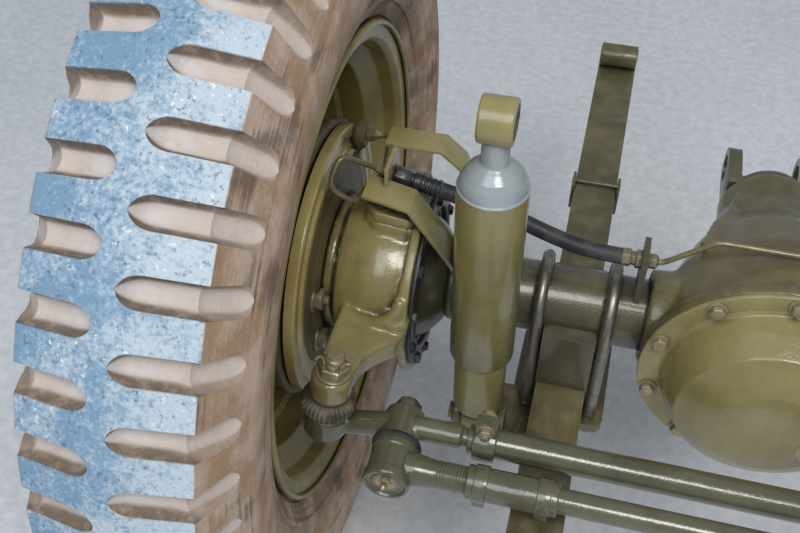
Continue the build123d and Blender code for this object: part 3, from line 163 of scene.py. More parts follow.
class Shader:
    """A material's node tree with short calls for its nodes."""

    def __init__(self, name: str) -> None:
        """Start an empty material.

        Args:
            name: The material's name.
        """
        self.material = bpy.data.materials.new(name)
        self.material.use_nodes = True
        self.tree = self.material.node_tree
        self.tree.nodes.clear()
        self.place = self.node("ShaderNodeTexCoord").outputs["Object"]

    def node(self, kind: str, settings: dict | None = None,
             inputs: dict | None = None) -> bpy.types.Node:
        """Add a node.

        Args:
            kind: The node's type.
            settings: Its properties, set first.
            inputs: Numbers, colours, sockets or Values by socket name or number.

        Returns:
            The node.
        """
        node = self.tree.nodes.new(kind)
        for key, value in (settings or {}).items():
            setattr(node, key, value)
        for key, value in (inputs or {}).items():
            socket = node.inputs[key]
            source = value.socket if isinstance(value, Value) else value
            if isinstance(source, bpy.types.NodeSocket):
                self.tree.links.new(source, socket)
            else:
                is_colour = socket.type == "RGBA" and len(source) == 3
                socket.default_value = (*source, 1) if is_colour else source
        return node

    def noise(self, scale: float, detail: float = 3.0, stretch: Point = (1, 1, 1),
              roughness: float = 0.5) -> Value:
        """Noise from 0 to 1 in the piece's own metres.

        Args:
            scale: Waves a metre.
            detail: Octaves.
            stretch: Scale along each axis.
            roughness: Weight of the finer octaves.

        Returns:
            The noise.
        """
        mapped = self.node("ShaderNodeMapping", None,
                           {"Vector": self.place, "Scale": tuple(stretch)})
        inputs = {"Vector": mapped.outputs[0], "Scale": scale, "Detail": detail,
                  "Roughness": roughness}
        return Value(self, self.node("ShaderNodeTexNoise", None, inputs).outputs["Fac"])

    def streaks(self, x: Value, y: Value, z: Value) -> Value:
        """Noise on coordinates of their own, for streaks along a form.

        Args:
            x: First coordinate, in waves.
            y: Second coordinate, in waves.
            z: Third coordinate, in waves.

        Returns:
            The noise.
        """
        vector = self.node("ShaderNodeCombineXYZ", None, {0: x, 1: y, 2: z}).outputs[0]
        inputs = {"Vector": vector, "Scale": 1.0, "Detail": 2.0, "Roughness": 0.6}
        return Value(self, self.node("ShaderNodeTexNoise", None, inputs).outputs["Fac"])

    def cells(self, scale: float) -> Value:
        """Distance to the nearest of scattered points.

        Args:
            scale: Points a metre.

        Returns:
            The distance in cells.
        """
        inputs = {"Vector": self.place, "Scale": scale}
        return Value(self, self.node("ShaderNodeTexVoronoi", None, inputs).outputs["Distance"])

    def mix(self, factor: Any, first: Any, second: Any) -> bpy.types.NodeSocket:
        """Colour from first at 0 to second at 1.

        Args:
            factor: Value or number.
            first: Colour or socket.
            second: Colour or socket.

        Returns:
            The colour's socket.
        """
        inputs = {MIX_FACTOR: factor, MIX_FIRST: first, MIX_SECOND: second}
        return self.node("ShaderNodeMix", {"data_type": "RGBA"}, inputs).outputs[MIX_RESULT]

    def attribute(self, name: str) -> Value:
        """A number that the mesh carries.

        Args:
            name: The attribute's name.

        Returns:
            Its value.
        """
        node = self.node("ShaderNodeAttribute", {"attribute_type": "GEOMETRY",
                                                 "attribute_name": name})
        return Value(self, node.outputs["Fac"])

    def axes(self) -> tuple[Value, Value, Value]:
        """The place's X, Y and Z."""
        node = self.node("ShaderNodeSeparateXYZ", None, {0: self.place})
        return tuple(Value(self, output) for output in node.outputs)

    def upward(self) -> Value:
        """Z of the surface's direction."""
        normal = self.node("ShaderNodeNewGeometry").outputs["Normal"]
        return Value(self, self.node("ShaderNodeSeparateXYZ", None, {0: normal}).outputs[2])

    def crevice(self, reach: float) -> Value:
        """1 where neighbouring faces close a point in, 0 in the open.

        Args:
            reach: Metres looked around.

        Returns:
            The mask.
        """
        node = self.node("ShaderNodeAmbientOcclusion", {"samples": 6}, {"Distance": reach})
        return 1 - Value(self, node.outputs["AO"])

    def worn_edge(self, radius: float) -> Value:
        """1 on the edges that stick out, 0 on flat faces.

        Args:
            radius: How wide the edge is, in metres.

        Returns:
            The mask.
        """
        soft = self.node("ShaderNodeBevel", {"samples": 4}, {"Radius": radius}).outputs[0]
        hard = self.node("ShaderNodeNewGeometry").outputs["Normal"]
        dot = self.node("ShaderNodeVectorMath", {"operation": "DOT_PRODUCT"}, {0: soft, 1: hard})
        return Value(self, dot.outputs["Value"]).step(0.98, 0.86)

    def bump(self, height: Any, strength: float, distance: float) -> bpy.types.NodeSocket:
        """Normal of a bumpy surface.

        Args:
            height: Value from 0 to 1.
            strength: Weight of the effect.
            distance: Metres at height 1.

        Returns:
            The normal's socket.
        """
        inputs = {"Height": height, "Strength": strength, "Distance": distance}
        return self.node("ShaderNodeBump", None, inputs).outputs[0]

    def surface(self, inputs: dict) -> bpy.types.Material:
        """End the tree in a Principled surface.

        Args:
            inputs: The surface's sockets by name.

        Returns:
            The material.
        """
        principled = self.node("ShaderNodeBsdfPrincipled", None, inputs)
        self.node("ShaderNodeOutputMaterial", None, {"Surface": principled.outputs[0]})
        return self.material


@dataclass(frozen=True)
class Finish:
    """A finish and the name of the slot that it stands for."""

    name: str
    slot: str

    def material(self) -> bpy.types.Material:
        """The finish's material, made once."""
        found = bpy.data.materials.get(self.name)
        return found or self.make(Shader(self.name))

    def make(self, shader: Shader) -> bpy.types.Material:
        """Build the material.

        Args:
            shader: The empty shader.

        Returns:
            The material.
        """
        raise NotImplementedError


@dataclass(frozen=True)
class Paint(Finish):
    """Brushed enamel over steel or a casting, with soiling and painted shade in its corners, and
    rubbed edges.
    """

    colour: Colour = (0.225, 0.184, 0.070)
    light: Colour = (0.345, 0.288, 0.120)
    # Colour of the corners and crevices: soiling, and painted shade.
    grime: Colour = (0.018, 0.015, 0.010)
    dust: Colour = (0.34, 0.28, 0.17)
    chip: Colour = (0.05, 0.04, 0.03)
    gloss: float = 0.28
    # Weight of the streaks and of the soiling and painted shade in the crevices.
    dirt: float = 0.85
    dusting: float = 0.10
    coat: float = 0.45
    shine: float = 0.5
    casting: float = 0.35
    chips: float = 0.3

    def make(self, shader: Shader) -> bpy.types.Material:
        """Build the material.

        Args:
            shader: The empty shader.

        Returns:
            The material.
        """
        cloud = shader.noise(11, 4)
        fine = shader.noise(120, 4)
        grain = shader.noise(620, 2)
        crevice = shader.crevice(0.022)
        upward = shader.upward()
        colour = shader.mix(cloud.step(0.34, 0.7), self.colour, self.light)
        streak = shader.noise(26, 3, (1, 1, 0.22)).step(0.52, 0.72)
        colour = shader.mix(streak * 0.35 * self.dirt, colour, tuple(0.45 * c for c in self.colour))
        worn = shader.worn_edge(0.0016) * fine.step(0.38, 0.62)
        colour = shader.mix(worn * 0.55, colour, tuple(min(1, 1.55 * c + 0.03) for c in self.light))
        settled = upward.step(0.25, 0.95) * shader.noise(48, 4).step(0.42, 0.75) * self.dusting
        colour = shader.mix(settled, colour, self.dust)
        # Corners and crevices, found by ambient occlusion, go near-black: part soiling, part
        # painted shade.
        grime_and_shade_mask = (crevice * 1.5 - 0.35 + (fine - 0.5) * 0.7).step(0.12, 0.75) * self.dirt
        colour = shader.mix(grime_and_shade_mask, colour, self.grime)
        chipped = (shader.cells(95).step(0.16, 0.1)
                   * shader.noise(17, 2).step(0.55, 0.68) * self.chips)
        colour = shader.mix(chipped, colour, self.chip)
        rough = self.gloss + grime_and_shade_mask * 0.12 + settled * 0.7 + (fine - 0.5) * 0.18 + chipped * 0.3
        height = grain * self.casting + fine * 0.6 + shader.noise(38, 2) * 1.2 - chipped * 0.6
        return shader.surface({"Base Color": colour, "Roughness": rough, "Metallic": 0.0,
                               "Coat Weight": self.coat, "Coat Roughness": 0.12,
                               "Specular IOR Level": self.shine,
                               "Normal": shader.bump(height, 0.55, 0.0009)})


@dataclass(frozen=True)
class Metal(Finish):
    """Bare metal with oil and rust stains, painted shade in its crevices, and a grain."""

    colour: Colour = (0.30, 0.28, 0.24)
    stain: Colour = (0.06, 0.045, 0.03)
    stained: float = 0.5
    rough: float = 0.36
    metallic: float = 0.85

    def make(self, shader: Shader) -> bpy.types.Material:
        """Build the material.

        Args:
            shader: The empty shader.

        Returns:
            The material.
        """
        fine = shader.noise(160, 4)
        crevice = shader.crevice(0.012)
        # Darker by noise and by crevice occlusion: oil and rust stains, plus painted shade in the
        # crevices.
        mask = (shader.noise(34, 4) * 0.6 + crevice * 0.9).step(0.38, 0.86) * self.stained
        colour = shader.mix(fine.step(0.3, 0.75), self.colour, tuple(0.7 * c for c in self.colour))
        colour = shader.mix(mask, colour, self.stain)
        worn = shader.worn_edge(0.0008)
        colour = shader.mix(worn * 0.5, colour, tuple(min(1, 1.6 * c) for c in self.colour))
        rough = self.rough + mask * 0.3 + (fine - 0.5) * 0.2
        height = fine + shader.noise(700, 1) * 0.3
        return shader.surface({"Base Color": colour, "Roughness": rough,
                               "Metallic": (1 - mask) * self.metallic,
                               "Normal": shader.bump(height, 0.4, 0.0004)})


@dataclass(frozen=True)
class Rubber(Finish):
    """Plain dusty rubber for boots, seals and hoses, dusted only in the open: dust, with a painted
    highlight on crests and painted shade in hollows.
    """

    colour: Colour = (0.020, 0.022, 0.026)
    dust: Colour = (0.19, 0.165, 0.14)
    dusting: float = 0.4
    rough: float = 0.48

    def make(self, shader: Shader) -> bpy.types.Material:
        """Build the material.

        Args:
            shader: The empty shader.

        Returns:
            The material.
        """
        fine = shader.noise(190, 4)
        # Dust only where nothing closes the surface in; on the boots' pleats this paints a
        # highlight on the crests and shade in the valleys.
        open_dust_and_highlight = (1 - shader.crevice(0.006)).step(0.55, 0.98)
        settled = shader.noise(55, 4).step(0.4, 0.7) * open_dust_and_highlight * self.dusting
        colour = shader.mix(settled, self.colour, self.dust)
        rough = self.rough + settled * 0.6 + (fine - 0.5) * 0.15
        return shader.surface({"Base Color": colour, "Roughness": rough,
                               "Normal": shader.bump(fine, 0.4, 0.0005)})


@dataclass(frozen=True)
class TreadRubber(Finish):
    """Tyre rubber: scuffed blue-grey lug faces, dusty brown grooves and sidewall; groove floors
    carry a painted highlight, groove walls painted shade.
    """

    face: Colour = (0.190, 0.318, 0.455)
    face_pale: Colour = (0.530, 0.610, 0.680)
    face_dark: Colour = (0.050, 0.090, 0.145)
    speck: Colour = (0.85, 0.87, 0.90)
    # Groove floor and walls: the pale floor is dust brightened into a painted highlight; the dark
    # walls are brown rubber in painted shade.
    groove: Colour = (0.660, 0.610, 0.590)
    groove_wall: Colour = (0.190, 0.142, 0.106)
    wall: Colour = (0.390, 0.250, 0.155)
    wall_light: Colour = (0.540, 0.420, 0.335)
    wall_dark: Colour = (0.110, 0.080, 0.064)
    inboard_x: tuple[float, float] = (0.640, 0.560)
    buttress_radius: tuple[float, float] = (0.3465, 0.340)
    bead_radius: tuple[float, float] = (0.262, 0.226)

    def make(self, shader: Shader) -> bpy.types.Material:
        """Build the material.

        Args:
            shader: The empty shader.

        Returns:
            The material.
        """
        across, y, z = shader.axes()
        radius = (y * y + z * z).root()
        inboard = abs(across).step(*self.inboard_x)
        fine = shader.noise(300, 5, roughness=0.7)
        mottled = shader.noise(110, 4, roughness=0.65)
        patch = shader.noise(16, 3)
        worn = (fine * 0.85 + mottled * 0.55 + (patch - 0.5) * 0.7
                + inboard * 0.22).step(0.60, 0.98)
        face = shader.mix(worn, self.face, self.face_pale)
        face = shader.mix(shader.noise(210, 3, roughness=0.7).step(0.42, 0.33) * 0.55, face,
                          self.face_dark)
        specks = (shader.noise(260, 2).step(0.66, 0.72)
                  + shader.noise(115, 3, roughness=0.7).step(0.66, 0.71))
        face = shader.mix((specks * patch.step(0.35, 0.6)) * 0.85, face, self.speck)
        streaks = shader.streaks(radius * 330, y * 7, z * 7)
        dusty = shader.noise(38, 4)
        wall = shader.mix((dusty * 0.8 + streaks * 0.25 + (fine - 0.5) * 0.3).step(0.38, 0.68),
                          self.wall, self.wall_light)
        wall = shader.mix((streaks * 0.3 + shader.noise(24, 4) * 0.8).step(0.53, 0.40) * 0.7, wall,
                          self.wall_dark)
        # Dark walls to a pale floor by the groove's depth share: painted shade on the walls,
        # painted highlight on the floor.
        groove = shader.mix(shader.attribute("floor").step(0.66, 0.99), self.groove_wall,
                            self.groove)
        groove = shader.mix(mottled.step(0.45, 0.72) * 0.5, groove, self.wall_light)
        buttress = radius.step(*self.buttress_radius)
        groove = shader.mix(buttress * 0.45, groove, self.wall_light)
        colour = shader.mix(shader.attribute("groove").step(0.02, 0.14), wall, groove)
        face_mask = shader.attribute("face").step(0.35, 0.75)
        colour = shader.mix(face_mask, colour, face)
        dark = radius.step(*self.bead_radius) * 0.7 * shader.noise(25, 3).step(0.3, 0.6)
        colour = shader.mix(dark, colour, self.wall_dark)
        height = mottled + fine * 0.9 + streaks * (1 - face_mask) * 0.25
        rough = 0.80 - face_mask * worn * 0.25 + (fine - 0.5) * 0.2
        return shader.surface({"Base Color": colour, "Roughness": rough,
                               "Normal": shader.bump(height, 0.5, 0.0012)})


OLIVE = Paint("olive enamel", "olive_paint")
# A lighter copy of the olive enamel for the backing plate's rim: painted highlight.
LIT_PLATE_OLIVE = Paint("backing plate enamel", "olive_paint", colour=(0.290, 0.228, 0.080),
                    light=(0.470, 0.385, 0.160), dirt=0.7, gloss=0.22, coat=0.6)
DAMPER_OLIVE = Paint("damper enamel", "olive_paint", colour=(0.180, 0.155, 0.056),
                     light=(0.245, 0.208, 0.084), dirt=0.6, casting=0.1, chips=0.2, gloss=0.26)
# A darkened copy of the olive enamel for the backing plate's disc inside the wheel: soiling, and
# painted shade of the wheel's inside.
SHADED_GRIMY_OLIVE = Paint("grimed olive", "olive_paint", colour=(0.090, 0.074, 0.034),
               light=(0.170, 0.140, 0.062), dirt=1.0, dusting=0.05, casting=0.4, gloss=0.46,
               coat=0.05, shine=0.25)
OILY = Paint("oily olive", "dirty_casting", colour=(0.085, 0.072, 0.030),
             light=(0.150, 0.122, 0.050), dirt=1.0, dusting=0.25, casting=0.8, gloss=0.34)
BLACKENED = Paint("blackened casting", "dirty_casting", colour=(0.012, 0.012, 0.012),
                  light=(0.036, 0.036, 0.038), dirt=0.8, dusting=0.06, casting=0.9, gloss=0.30,
                  chips=0.0, coat=0.2)
LINKAGE = Paint("dark green linkage", "dark_green_paint", colour=(0.074, 0.073, 0.042),
                light=(0.130, 0.124, 0.074), dirt=0.8, dusting=0.04, casting=0.4, gloss=0.18,
                coat=0.7)
RIM_PAINT = Paint("rim enamel", "olive_paint", colour=(0.205, 0.162, 0.050),
                  light=(0.330, 0.265, 0.086), dirt=1.0, dusting=0.05, casting=0.15, gloss=0.26,
                  coat=0.12, shine=0.35)
IRON = Paint("dusty drum iron", "drum_iron", colour=(0.090, 0.078, 0.048),
             light=(0.16, 0.135, 0.08), dirt=1.0, dusting=0.3, casting=0.9, gloss=0.5, coat=0.0,
             shine=0.25)
STEEL = Metal("dull steel", "bare_steel")
WORN_BRASS = Metal("worn olive steel", "bare_steel", colour=(0.42, 0.35, 0.22), stained=0.65,
                   metallic=0.55, stain=(0.09, 0.07, 0.03))
PIPE_STEEL = Metal("painted pipe", "bare_steel", colour=(0.30, 0.25, 0.15), stained=0.45,
                   metallic=0.45)
KNUCKLE = Paint("glossy casting", "olive_paint", casting=0.5, dirt=0.9, gloss=0.2, dusting=0.04,
                coat=0.7)
BEAM = Paint("axle beam", "dirty_casting", colour=(0.052, 0.047, 0.027),
             light=(0.105, 0.092, 0.046), dirt=1.0, dusting=0.15, casting=0.6, gloss=0.32)
DAMPER_CAP = Paint("damper cap", "olive_paint", colour=(0.20, 0.22, 0.20), light=(0.34, 0.38, 0.40),
                   casting=0.2, dirt=0.4, gloss=0.2, dusting=0.1)
LINKAGE_TRIM = Paint("olive socket trim", "dark_green_paint", colour=(0.20, 0.165, 0.065),
                     light=(0.36, 0.31, 0.16), dirt=0.9, casting=0.4, gloss=0.3)
# Pale dust on the boots' open pleat crests: dust and a painted highlight, with the valleys left
# dark as painted shade.
BOOT = Rubber("boot rubber", "boot_rubber", colour=(0.060, 0.048, 0.026), dusting=0.8,
              dust=(0.27, 0.24, 0.20))
HOSE = Rubber("hose rubber", "hose_rubber", dusting=0.25)
TREAD = TreadRubber("tyre rubber", "tyre")


# Geometry building, in millimetres

# Rounding takes at most this share of a run, and leaves out corners that turn less (radians).
CORNER_SHARE = 0.45
LEAST_TURN = 0.05

# Cosine above which two directions count as one, and the radius under which a ring is a point.
PARALLEL = 0.99
LEAST_RADIUS = 1e-4

# Metres within which a CAD mesh's corners join, and degrees under which its faces do.
JOIN_WITHIN = 1e-6
FLAT_BELOW = 0.8

# Numbers that a tyre's mesh carries for its finish.
MARKS = ("face", "floor", "groove")


def frame_at(origin: Point, z_axis: Point, x_hint: Point = (1, 0, 0)) -> Matrix:
    """Frame whose Z points along an axis.

    Args:
        origin: Its place.
        z_axis: Direction of Z.
        x_hint: Direction that X comes nearest to.

    Returns:
        The frame as a 4x4 matrix.
    """
    z = Vector(z_axis).normalized()
    hint = Vector(x_hint)
    if abs(hint.normalized().dot(z)) > PARALLEL:
        hint = Vector((0, 1, 0))
    x = (hint - z * hint.dot(z)).normalized()
    y = z.cross(x)
    matrix = Matrix((x, y, z)).transposed().to_4x4()
    matrix.translation = Vector(origin)
    return matrix


def arc(centre: Point, reach: Point, start: float, end: float,
        steps: int) -> list[tuple[float, float]]:
    """Points along part of an ellipse.

    Args:
        centre: Its middle.
        reach: Its half axes.
        start: First angle, radians from the first axis.
        end: Last angle.
        steps: Runs between the points.

    Returns:
        The points.
    """
    angles = [start + (end - start) * step / steps for step in range(steps + 1)]
    return [(centre[0] + reach[0] * cos(angle), centre[1] + reach[1] * sin(angle))
            for angle in angles]


def section(inner: float, outer: float, low: float, high: float) -> list[tuple[float, float]]:
    """Rectangle for a lathe, between two radii and two heights."""
    return [(inner, low), (outer, low), (outer, high), (inner, high)]


def rounded(line: Outline, radius: float, segments: int = 3, closed: bool = True) -> list[Vector]:
    """A line whose corners are rounded, in two or three dimensions.

    Args:
        line: Its corners.
        radius: Rounding of each corner, less where its runs are short.
        segments: Steps in each corner.
        closed: Whether the last corner joins the first.

    Returns:
        The rounded line.
    """
    corners = [Vector(point) for point in line]
    count = len(corners)
    result: list[Vector] = []
    for index, corner in enumerate(corners):
        if not closed and index in (0, count - 1):
            result.append(corner)
            continue
        before, after = corners[index - 1] - corner, corners[(index + 1) % count] - corner
        turn = pi - before.angle(after)
        if turn < LEAST_TURN:
            result.append(corner)
            continue
        reach = min(radius * tan(turn / 2), CORNER_SHARE * before.length,
                    CORNER_SHARE * after.length)
        start, end = corner + before.normalized() * reach, corner + after.normalized() * reach
        for step in range(segments + 1):
            t = step / segments
            result.append(start * (1 - t) ** 2 + corner * (2 * t * (1 - t)) + end * t ** 2)
    return result


@dataclass
class Solid:
    """Closed shells in millimetres, with marks that the shader reads."""

    points: list[Vector] = field(default_factory=list)
    faces: list[tuple[int, ...]] = field(default_factory=list)
    marks: dict[str, list[float]] = field(default_factory=dict)

    def placed(self, place: Matrix) -> "Solid":
        """The solid moved by a matrix.

        Args:
            place: Where its own frame goes.

        Returns:
            The moved copy.
        """
        return Solid([place @ point for point in self.points], list(self.faces), dict(self.marks))

    def moved(self, x: float, y: float, z: float) -> "Solid":
        """The solid shifted by x, y and z."""
        return self.placed(Matrix.Translation((x, y, z)))

    def mirrored(self) -> "Solid":
        """The solid on the other side of YZ."""
        points = [Vector((-point.x, point.y, point.z)) for point in self.points]
        return Solid(points, [tuple(reversed(face)) for face in self.faces], dict(self.marks))

    def __add__(self, other: "Solid") -> "Solid":
        """Both solids' shells together.

        Args:
            other: The other solid.

        Returns:
            The joined solid, without marks.
        """
        shift = len(self.points)
        faces = self.faces + [tuple(corner + shift for corner in face) for face in other.faces]
        return Solid(self.points + other.points, faces, {})

    @classmethod
    def lathe(cls, outline: Outline, steps: int = 96, place: Matrix | None = None) -> "Solid":
        """Shell turned about Z.

        Args:
            outline: Closed outline of (radius, height) points.
            steps: Faces round the axis.
            place: Where its frame goes.

        Returns:
            The solid.
        """
        points: list[Vector] = []
        rings: list[list[int]] = []
        for radius, height in outline:
            first = len(points)
            if radius < LEAST_RADIUS:
                points.append(Vector((0, 0, height)))
                rings.append([first] * steps)
            else:
                angles = (2 * pi * step / steps for step in range(steps))
                points += [Vector((radius * cos(angle), radius * sin(angle), height))
                           for angle in angles]
                rings.append(list(range(first, first + steps)))
        faces = []
        for ring, following in zip(rings, rings[1:] + rings[:1]):
            for step in range(steps):
                after = (step + 1) % steps
                corners = (ring[step], ring[after], following[after], following[step])
                unique = tuple(dict.fromkeys(corners))
                if len(unique) > 2:
                    faces.append(unique)
        solid = cls(points, faces)
        return solid.placed(place) if place else solid

    @classmethod
    def prism(cls, outline: Outline, low: float, high: float,
              place: Matrix | None = None) -> "Solid":
        """Straight prism along Z.

        Args:
            outline: Closed flat outline.
            low: Height of its foot.
            high: Height of its top.
            place: Where its frame goes.

        Returns:
            The solid.
        """
        count = len(outline)
        points = [Vector((point[0], point[1], height)) for height in (low, high)
                  for point in outline]
        faces = [tuple(reversed(range(count))), tuple(range(count, 2 * count))]
        faces += [(index, (index + 1) % count, (index + 1) % count + count, index + count)
                  for index in range(count)]
        solid = cls(points, faces)
        return solid.placed(place) if place else solid

    @classmethod
    def block(cls, centre: Point, size: Point) -> "Solid":
        """Block about a centre.

        Args:
            centre: Its middle.
            size: Its lengths along X, Y and Z.

        Returns:
            The solid.
        """
        x, y, z = (length / 2 for length in size)
        outline = [(-x, -y), (x, -y), (x, y), (-x, y)]
        return cls.prism(outline, -z, z).moved(*centre)

    @classmethod
    def tube(cls, route: Iterable[Point], radius: float | Sequence[float],
             steps: int = 16) -> "Solid":
        """Round bar along a route, closed at both ends.

        Args:
            route: Points along its middle.
            radius: Its radius, or one for each point.
            steps: Faces round it.

        Returns:
            The solid.
        """
        line = [Vector(point) for point in route]
        radii = [radius] * len(line) if isinstance(radius, (int, float)) else list(radius)
        runs = [(after - before).normalized() for before, after in zip(line, line[1:])]
        across = runs[0].orthogonal().normalized()
        points: list[Vector] = []
        for index, centre in enumerate(line):
            along = (runs[max(index - 1, 0)] + runs[min(index, len(runs) - 1)]).normalized()
            across = (across - along * across.dot(along)).normalized()
            other = along.cross(across)
            for step in range(steps):
                angle = 2 * pi * step / steps
                points.append(centre + (across * cos(angle) + other * sin(angle)) * radii[index])
        faces = [tuple(reversed(range(steps))), tuple(range(len(points) - steps, len(points)))]
        for ring in range(len(line) - 1):
            for step in range(steps):
                first, second = ring * steps + step, ring * steps + (step + 1) % steps
                faces.append((first, second, second + steps, first + steps))
        return cls(points, faces)

    @classmethod
    def from_mesh(cls, mesh: bpy.types.Mesh) -> "Solid":
        """Solid with a mesh's points, faces and marks.

        Args:
            mesh: The mesh, in metres.

        Returns:
            The solid.
        """
        points = [vertex.co / MM for vertex in mesh.vertices]
        faces = [tuple(polygon.vertices) for polygon in mesh.polygons]
        marks = {}
        for name in MARKS:
            if name in mesh.attributes:
                marks[name] = [item.value for item in mesh.attributes[name].data]
        return cls(points, faces, marks)

    @classmethod
    def from_node(cls, node: str) -> "Solid":
        """A copy of a CAD node's shells with joined triangles.

        Args:
            node: The node's name.

        Returns:
            The solid.
        """
        shape = bmesh.new()
        shape.from_mesh(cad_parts[node].data)
        bmesh.ops.remove_doubles(shape, verts=shape.verts, dist=JOIN_WITHIN)
        bmesh.ops.dissolve_limit(shape, angle_limit=radians(FLAT_BELOW), verts=shape.verts,
                                 edges=shape.edges)
        shape.verts.index_update()
        points = [vertex.co / MM for vertex in shape.verts]
        faces = [tuple(vertex.index for vertex in face.verts) for face in shape.faces]
        shape.free()
        return cls(points, faces)

    def mesh(self, name: str, turn_out: bool = True) -> bpy.types.Mesh:
        """Mesh in metres.

        Args:
            name: The mesh's name.
            turn_out: Whether each shell's faces are turned outward.

        Returns:
            The mesh.
        """
        mesh = bpy.data.meshes.new(name)
        mesh.from_pydata([point * MM for point in self.points], [], self.faces)
        for mark, values in self.marks.items():
            mesh.attributes.new(mark, "FLOAT", "POINT").data.foreach_set("value", values)
        if turn_out:
            shape = bmesh.new()
            shape.from_mesh(mesh)
            bmesh.ops.recalc_face_normals(shape, faces=shape.faces)
            shape.to_mesh(mesh)
            shape.free()
        return mesh


def copies_group() -> bpy.types.NodeTree:
    """Node group that turns copies of a piece about Z and places the ring.

    Returns:
        The group, made once.
    """
    found = bpy.data.node_groups.get("turned copies")
    if found:
        return found
    tree = bpy.data.node_groups.new("turned copies", "GeometryNodeTree")
    for name, kind in (("Geometry", "Geometry"), ("Piece", "Object"), ("Copies", "Int"),
                       ("Step", "Float"), ("Phase", "Float"), ("Joined", "Float"),
                       ("Material", "Material")):
        tree.interface.new_socket(name, in_out="INPUT", socket_type=f"NodeSocket{kind}")
    tree.interface.new_socket("Geometry", in_out="OUTPUT", socket_type="NodeSocketGeometry")
    node = tree.nodes.new
    given, result = node("NodeGroupInput"), node("NodeGroupOutput")
    info, line, turn = (node("GeometryNodeObjectInfo"), node("GeometryNodeMeshLine"),
                        node("ShaderNodeMath"))
    vector, place = node("ShaderNodeCombineXYZ"), node("GeometryNodeInstanceOnPoints")
    realise, merge = node("GeometryNodeRealizeInstances"), node("GeometryNodeMergeByDistance")
    colour, number = node("GeometryNodeSetMaterial"), node("GeometryNodeInputIndex")
    turn.operation = "MULTIPLY_ADD"
    line.inputs["Offset"].default_value = (0, 0, 0)
    for source, output, target, entry in (
        (given, "Piece", info, "Object"), (given, "Copies", line, "Count"), (number, 0, turn, 0),
        (given, "Step", turn, 1), (given, "Phase", turn, 2), (turn, 0, vector, "Z"),
        (line, "Mesh", place, "Points"), (info, "Geometry", place, "Instance"),
        (vector, 0, place, "Rotation"), (place, 0, realise, 0), (realise, 0, merge, "Geometry"),
        (given, "Joined", merge, "Distance"), (merge, 0, colour, "Geometry"),
        (given, "Material", colour, "Material"), (colour, 0, result, 0),
    ):
        tree.links.new(source.outputs[output], target.inputs[entry])
    return tree


def evaluated(thing: bpy.types.Object) -> bpy.types.Mesh:
    """Mesh of an object with its modifiers, which then go.

    Args:
        thing: The object.

    Returns:
        The new mesh.
    """
    bpy.context.view_layer.update()
    graph = bpy.context.evaluated_depsgraph_get()
    mesh = bpy.data.meshes.new_from_object(thing.evaluated_get(graph))
    thing.modifiers.clear()
    return mesh


def linked(name: str, data: bpy.types.ID) -> bpy.types.Object:
    """New object in the scene with this mesh, curve, lamp or camera.

    Args:
        name: Its name.
        data: What it shows.

    Returns:
        The object.
    """
    thing = bpy.data.objects.new(name, data)
    bpy.context.scene.collection.objects.link(thing)
    return thing


def ring(piece: Solid, copies: int, finish: Finish, place: Matrix | None = None, phase: float = 0.0,
         joined: float = 0.0) -> Solid:
    """Copies of a piece turned evenly about Z.

    Args:
        piece: What is repeated.
        copies: How many.
        finish: Its finish.
        place: Where the ring's frame goes.
        phase: Degrees of the first copy.
        joined: Millimetres within which points are merged.

    Returns:
        All copies as one solid.
    """
    sample = linked("sample", piece.mesh("sample"))
    carrier = linked("carrier", bpy.data.meshes.new("carrier"))
    modifier = carrier.modifiers.new("turned copies", "NODES")
    modifier.node_group = copies_group()
    values = {"Piece": sample, "Copies": copies, "Step": 2 * pi / copies, "Phase": radians(phase),
              "Joined": joined * MM, "Material": finish.material()}
    for item in modifier.node_group.interface.items_tree:
        if item.in_out == "INPUT" and item.name in values:
            modifier[item.identifier] = values[item.name]
    mesh = evaluated(carrier)
    result = Solid.from_mesh(mesh)
    for thing in (carrier, sample):
        data = thing.data
        bpy.data.objects.remove(thing)
        bpy.data.meshes.remove(data)
    bpy.data.meshes.remove(mesh)
    return result.placed(place) if place else result


def bolt(radius: float = 6.5, height: float = 5.0, washer: float = 1.5) -> Solid:
    """Hexagonal head on a washer, standing on Z.

    Args:
        radius: Across its corners, halved.
        height: Of the head.
        washer: Thickness of its washer.

    Returns:
        The solid.
    """
    chamfer = 0.14 * radius
    head = [(0, washer), (radius, washer), (radius, washer + height - chamfer),
            (radius - 1.6 * chamfer, washer + height), (0, washer + height)]
    return Solid.lathe(head, 6) + Solid.lathe(section(0, 1.25 * radius, 0, washer), 24)


def thread(radius: float, low: float, high: float, pitch: float = 1.75, depth: float = 0.55,
           end: float = 0.9, steps: int = 20) -> Solid:
    """Threaded bar along Z.

    Args:
        radius: Outside of the thread.
        low: Start.
        high: End.
        pitch: Distance between its crests, about.
        depth: From the crests to the root.
        end: How far its last edge is turned down.
        steps: Faces round it.

    Returns:
        The solid.
    """
    outline = [(0, low)]
    count = max(2, int((high - low) / pitch))
    for turn in range(count):
        start = low + (high - low) * turn / count
        outline += [(radius - depth, start), (radius, start + (high - low) / count / 2)]
    return Solid.lathe(outline + [(radius - end, high), (0, high)], steps)


def nipple(size: float = 1.0) -> Solid:
    """Grease nipple along Z.

    Args:
        size: Its scale.

    Returns:
        The solid.
    """
    outline = [(0, 0), (4.2, 0), (4.2, 3.5), (2.4, 4.5), (2.4, 7), (3.1, 8), (3.1, 9.5),
               (1.6, 11.5), (0, 11.5)]
    return Solid.lathe([(size * radius, size * height) for radius, height in outline], 16)


